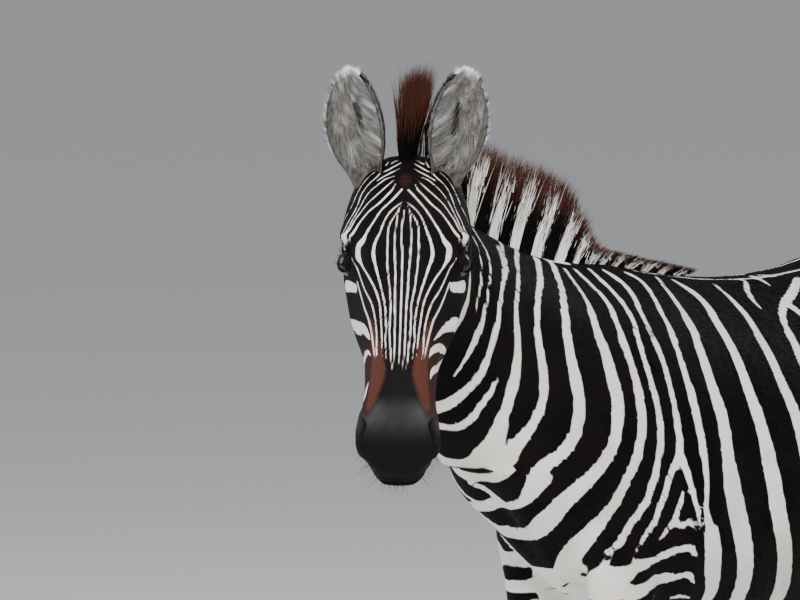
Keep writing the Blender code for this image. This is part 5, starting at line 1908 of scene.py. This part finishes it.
# Whiskers of the lips and chin, and the lashes.
fineHair = {
    "whiskers": 190,
    "whiskerLength": 0.026,
    "lashes": 70,
    "lashLength": 0.017,
    "droop": 0.16,
    "size": (0.20, 0.20),
    "seed": 90,
}


def lidPlace(u, side, high):
    # a place on the margin of a lid, u from end to end
    nose, brow, out = eyeAxes()
    height = eyelids["upperHeight"] if high else -eyelids["lowerHeight"]
    v = height * (1 - u * u) * 0.96
    w = math.sqrt(max(headForm["eyeRadius"] ** 2 - (u * eyelids["halfLength"]) ** 2 - v * v, 0))
    place = headForm["eyeAt"] + (nose * u * eyelids["halfLength"] + brow * v + out * w) * 1.10
    return place, nose, brow, out


def headWay(vector, side):
    poll, down, up = headAxes()
    return vector[0] * down + vector[2] * up + np.array((side * vector[1], 0, 0))


def withFineHair(mesh, triangles, normalsStraight):
    rng = np.random.default_rng(fineHair["seed"])
    middles = straight[triangles].mean(1)
    places = headPlaces(middles)
    chin = (headShare(middles) > 0.5) & (places[:, 0] > 0.435) & (places[:, 2] < -0.058)
    corners, shares = scattered(straight, triangles[chin], fineHair["whiskers"], rng)
    root = blendOf(straight, corners, shares)
    out = unitRows(blendOf(normalsStraight, corners, shares))
    length = fineHair["whiskerLength"] * rng.uniform(0.5, 1.3, len(root))
    poll, down, up = headAxes()
    way = unitRows(out + 0.35 * down + rng.normal(0, 0.16, root.shape))
    roots, tips = [root], [root + way * length[:, None]]
    bends = [-fineHair["droop"] * length[:, None] * (0, 0, 1)]
    for side in (1, -1):
        for high in (True, False):
            for _ in range(fineHair["lashes"] if high else fineHair["lashes"] // 3):
                u = rng.uniform(-0.85, 0.85)
                place, nose, brow, outWay = lidPlace(u, side, high)
                way = unit(outWay + brow * (0.10 if high else -0.5) + nose * u * 0.5 + rng.normal(0, 0.08, 3))
                long = fineHair["lashLength"] * (1 if high else 0.5) * rng.uniform(0.6, 1.1)
                start = onHead(place[0], side * place[1], place[2])
                roots.append(start[None])
                tips.append((start + headWay(way, side) * long)[None])
                bends.append(headWay(brow * (-0.003 if high else -0.001), side)[None])
    root, tip, bend = np.concatenate(roots), np.concatenate(tips), np.concatenate(bends)
    dark, tone = -np.ones(len(root)), np.full(len(root), 0.5)
    values = hairValues((dark, dark), (dark, dark), (tone, tone))
    spread = aboutAxis(root, onHead(0, 0, -0.10), down, up)
    hair = hairFrom(root, tip, bend, fineHair["size"], values, spread)
    piece = grownHair("whiskersAndLashes", hair, maneFinish, rings=3)
    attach(piece, "root")


# Eyes: dark wet balls with a level pupil.
eyeForm = {
    "radius": 0.0211,
    "iris": 0.0150,
    "pupil": (0.0085, 0.0050),
    "bulge": 0.0012,
    "rimColour": (0.006, 0.0035, 0.003, 1),
    "irisDark": (0.007, 0.0034, 0.0018, 1),
    "irisLight": (0.016, 0.0075, 0.0036, 1),
    "pupilColour": (0.0015, 0.0015, 0.0022, 1),
    "gloss": {"Roughness": 0.12, "Specular IOR Level": 0.30, "Coat Weight": 0.30, "Coat Roughness": 0.04},
}


def eyeMaterial():
    material, tree, shader = newMaterial("eyeWet")
    iris = ranged(tree, attributeOf(tree, "iris"), -0.0012, 0.0012)
    pupil = ranged(tree, attributeOf(tree, "pupil"), -0.06, 0.10)
    streaks = ranged(tree, noised(tree, 420, 2), 0.35, 0.70)
    brown = mixed(tree, streaks, eyeForm["irisDark"], eyeForm["irisLight"])
    tone = mixed(tree, pupil, mixed(tree, iris, eyeForm["rimColour"], brown), eyeForm["pupilColour"])
    setInputs(shader, {"Base Color": tone, **eyeForm["gloss"]})
    return material


def withEyes():
    finish = eyeMaterial()
    poll, down, up = headAxes()
    nose, brow, out = eyeAxes()
    for side, name in ((1, "left"), (-1, "right")):
        a, s, o = headForm["eyeAt"]
        centre = onHead(a, side * s, o)
        eye = ball("eyeBall_" + name, (0, 0, 0), (1, 1, 1), 28)
        points = meshPoints(eye.data)
        axes = [headWay(v, side) for v in (nose, brow, out)]
        u, v, w = (points @ axis * eyeForm["radius"] for axis in axes)
        off = np.sqrt(u * u + v * v)
        bulge = eyeForm["bulge"] * np.exp(-((off / eyeForm["iris"]) ** 2)) * (w > 0)
        setAttribute(eye.data, "iris", "FLOAT", np.where(w > 0, eyeForm["iris"] - off, -0.01))
        oval = np.sqrt((u / eyeForm["pupil"][0]) ** 2 + (v / eyeForm["pupil"][1]) ** 2)
        setAttribute(eye.data, "pupil", "FLOAT", np.where(w > 0, 1 - oval, -1))
        placed = centre + points * (eyeForm["radius"] + bulge)[:, None]
        setPoints(eye.data, posed(placed))
        outward(eye)
        eye.data.polygons.foreach_set("use_smooth", np.ones(len(eye.data.polygons), bool))
        eye.data.materials.append(finish)
        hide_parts("eye_" + name)
        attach(eye, "root")


# Hooves keep their solids, with horn that has grown in rings.
hoofForm = {
    "dark": (0.020, 0.017, 0.015, 1),
    "light": (0.090, 0.072, 0.055, 1),
    "dust": (0.13, 0.11, 0.09, 1),
    "dustHeight": 0.022,
    "lines": (8, 8, 160),
    "roughness": 0.42,
    "bump": 0.0012,
}


def hoofMaterial():
    material, tree, shader = newMaterial("hoofHorn")
    lines = noised(tree, 2.2, 3, hoofForm["lines"], rough=0.5)
    grain = noised(tree, 60, 4, (1, 1, 0.12))
    worn = ranged(tree, summed(tree, lines, grain, 0.5), 0.55, 0.95)
    tone = mixed(tree, worn, hoofForm["dark"], hoofForm["light"])
    parts = addNode(tree, "ShaderNodeSeparateXYZ", {0: addNode(tree, "ShaderNodeTexCoord").outputs["Object"]})
    dust = ranged(tree, parts.outputs["Z"], hoofForm["dustHeight"], 0.0)
    tone = mixed(tree, dust, tone, hoofForm["dust"])
    setInputs(shader, {"Base Color": tone, "Roughness": hoofForm["roughness"]})
    bumped(tree, shader, lines, 0.5, hoofForm["bump"])
    return material


def finishHooves():
    horn = hoofMaterial()
    for obj in bpy.data.objects:
        if obj.name.startswith(hoofNodes):
            obj.data.materials.clear()
            obj.data.materials.append(horn)


hoofNodes = ("forehoof", "hindhoof")
otherNodes = ("eye", "mane", "tail_tuft")  # replaced by pieces of their own

skin = withEarsAndDock(faced(refined(bodySkin())))
straight = meshPoints(skin.data)  # the skin before the pose, where markings are placed
print("body skin", len(skin.data.vertices), "points,", len(skin.data.polygons), "faces")
skinTree = markTree(straight, skin.data)
bodyPaths = strokePaths(skinTree) + chestPaths(skinTree, whiteChestStrokes)
darkPaths = chestPaths(skinTree, darkChestStrokes)
facialPaths = facePaths(skinTree, faceStrokes, jitter=0.0006) + facePaths(skinTree, middleStroke, (1,))
facialPaths += facePaths(skinTree, leftCheekStrokes, (1,)) + facePaths(skinTree, rightCheekStrokes, (-1,))
chestnutPaths = facePaths(skinTree, brownStrokes)
straight = slidOntoStrokes(straight, skin.data, bodyPaths)
markSkin(skin.data, straight)
print("markings placed")
setPoints(skin.data, posed(straight))
skin.data.materials.append(skinFinish)
replaced = [node for node in frame["nodes"] if not node.startswith(hoofNodes + otherNodes)]
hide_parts(*replaced)
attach(skin, "root")
dressCoat(skin.data)
withMane()
withEarHair()
withTassel()
withEyes()
finishHooves()
print("coat, mane, ears, tail and eyes dressed")

# Camera, floor and light.
studio = {
    "azimuth": math.radians(40.5),
    "elevation": math.radians(4.9),
    "distance": 9.0,
    "lens": 262,
    "beside": -0.0077,  # the camera's own shift from the line to the eyes
    "below": -0.0557,
    "floorSize": 400,
    "floorColour": (0.86, 0.85, 0.83, 1),
    "worldColour": (0.80, 0.84, 0.90, 1),
    "worldStrength": 0.45,
    "target": (0, 0, 0.9),
    # name, place, size, watts, colour
    "lights": (
        ("key", (3.2, -4.2, 4.6), 2.4, 520, (1.0, 0.98, 0.95)),
        ("fill", (-4.5, -2.5, 2.6), 3.5, 150, (0.92, 0.96, 1.0)),
        ("back", (1.5, 4.5, 4.0), 3.0, 110, (1, 1, 1)),
    ),
}


def lookingWay():
    az, el = studio["azimuth"], studio["elevation"]
    back = np.array((math.sin(az) * math.cos(el), -math.cos(az) * math.cos(el), math.sin(el)))
    right = np.array((math.cos(az), math.sin(az), 0.0))
    return back, right, np.cross(back, right)


def setCamera():
    back, right, up = lookingWay()
    a, s, o = headForm["eyeAt"]
    eyes = posed(np.array((onHead(a, s, o), onHead(a, -s, o)))).mean(0)
    data = bpy.data.cameras.new("camera")
    data.lens, data.sensor_width, data.clip_end = studio["lens"], 36, 100
    camera = linked("camera", data)
    camera.location = eyes + back * studio["distance"] + right * studio["beside"] + up * studio["below"]
    camera.rotation_mode = "QUATERNION"
    camera.rotation_quaternion = Vector(-back).to_track_quat("-Z", "Y")
    bpy.context.scene.camera = camera


def areaLight(name, place, size, power, colour):
    data = bpy.data.lights.new(name, "AREA")
    data.shape, data.size, data.energy, data.color = "DISK", size, power, colour
    light = linked(name, data)
    light.location = place
    light.rotation_mode = "QUATERNION"
    light.rotation_quaternion = (Vector(studio["target"]) - Vector(place)).to_track_quat("-Z", "Y")


def setStage():
    mesh = bpy.data.meshes.new("floor")
    size = studio["floorSize"]
    corners = [(x * size, y * size, 0) for x, y in ((-1, -1), (1, -1), (1, 1), (-1, 1))]
    mesh.from_pydata(corners, [], [(0, 1, 2, 3)])
    floor = linked("floor", mesh)
    paint, tree, shader = newMaterial("floorPaint")
    setInputs(shader, {"Base Color": studio["floorColour"], "Roughness": 0.8})
    mesh.materials.append(paint)
    world = bpy.data.worlds.new("studio")
    world.use_nodes = True
    sky = {"Color": studio["worldColour"], "Strength": studio["worldStrength"]}
    setInputs(world.node_tree.nodes["Background"], sky)
    bpy.context.scene.world = world
    for light in studio["lights"]:
        areaLight(*light)
    print("camera, floor and lights set")


setCamera()
setStage()
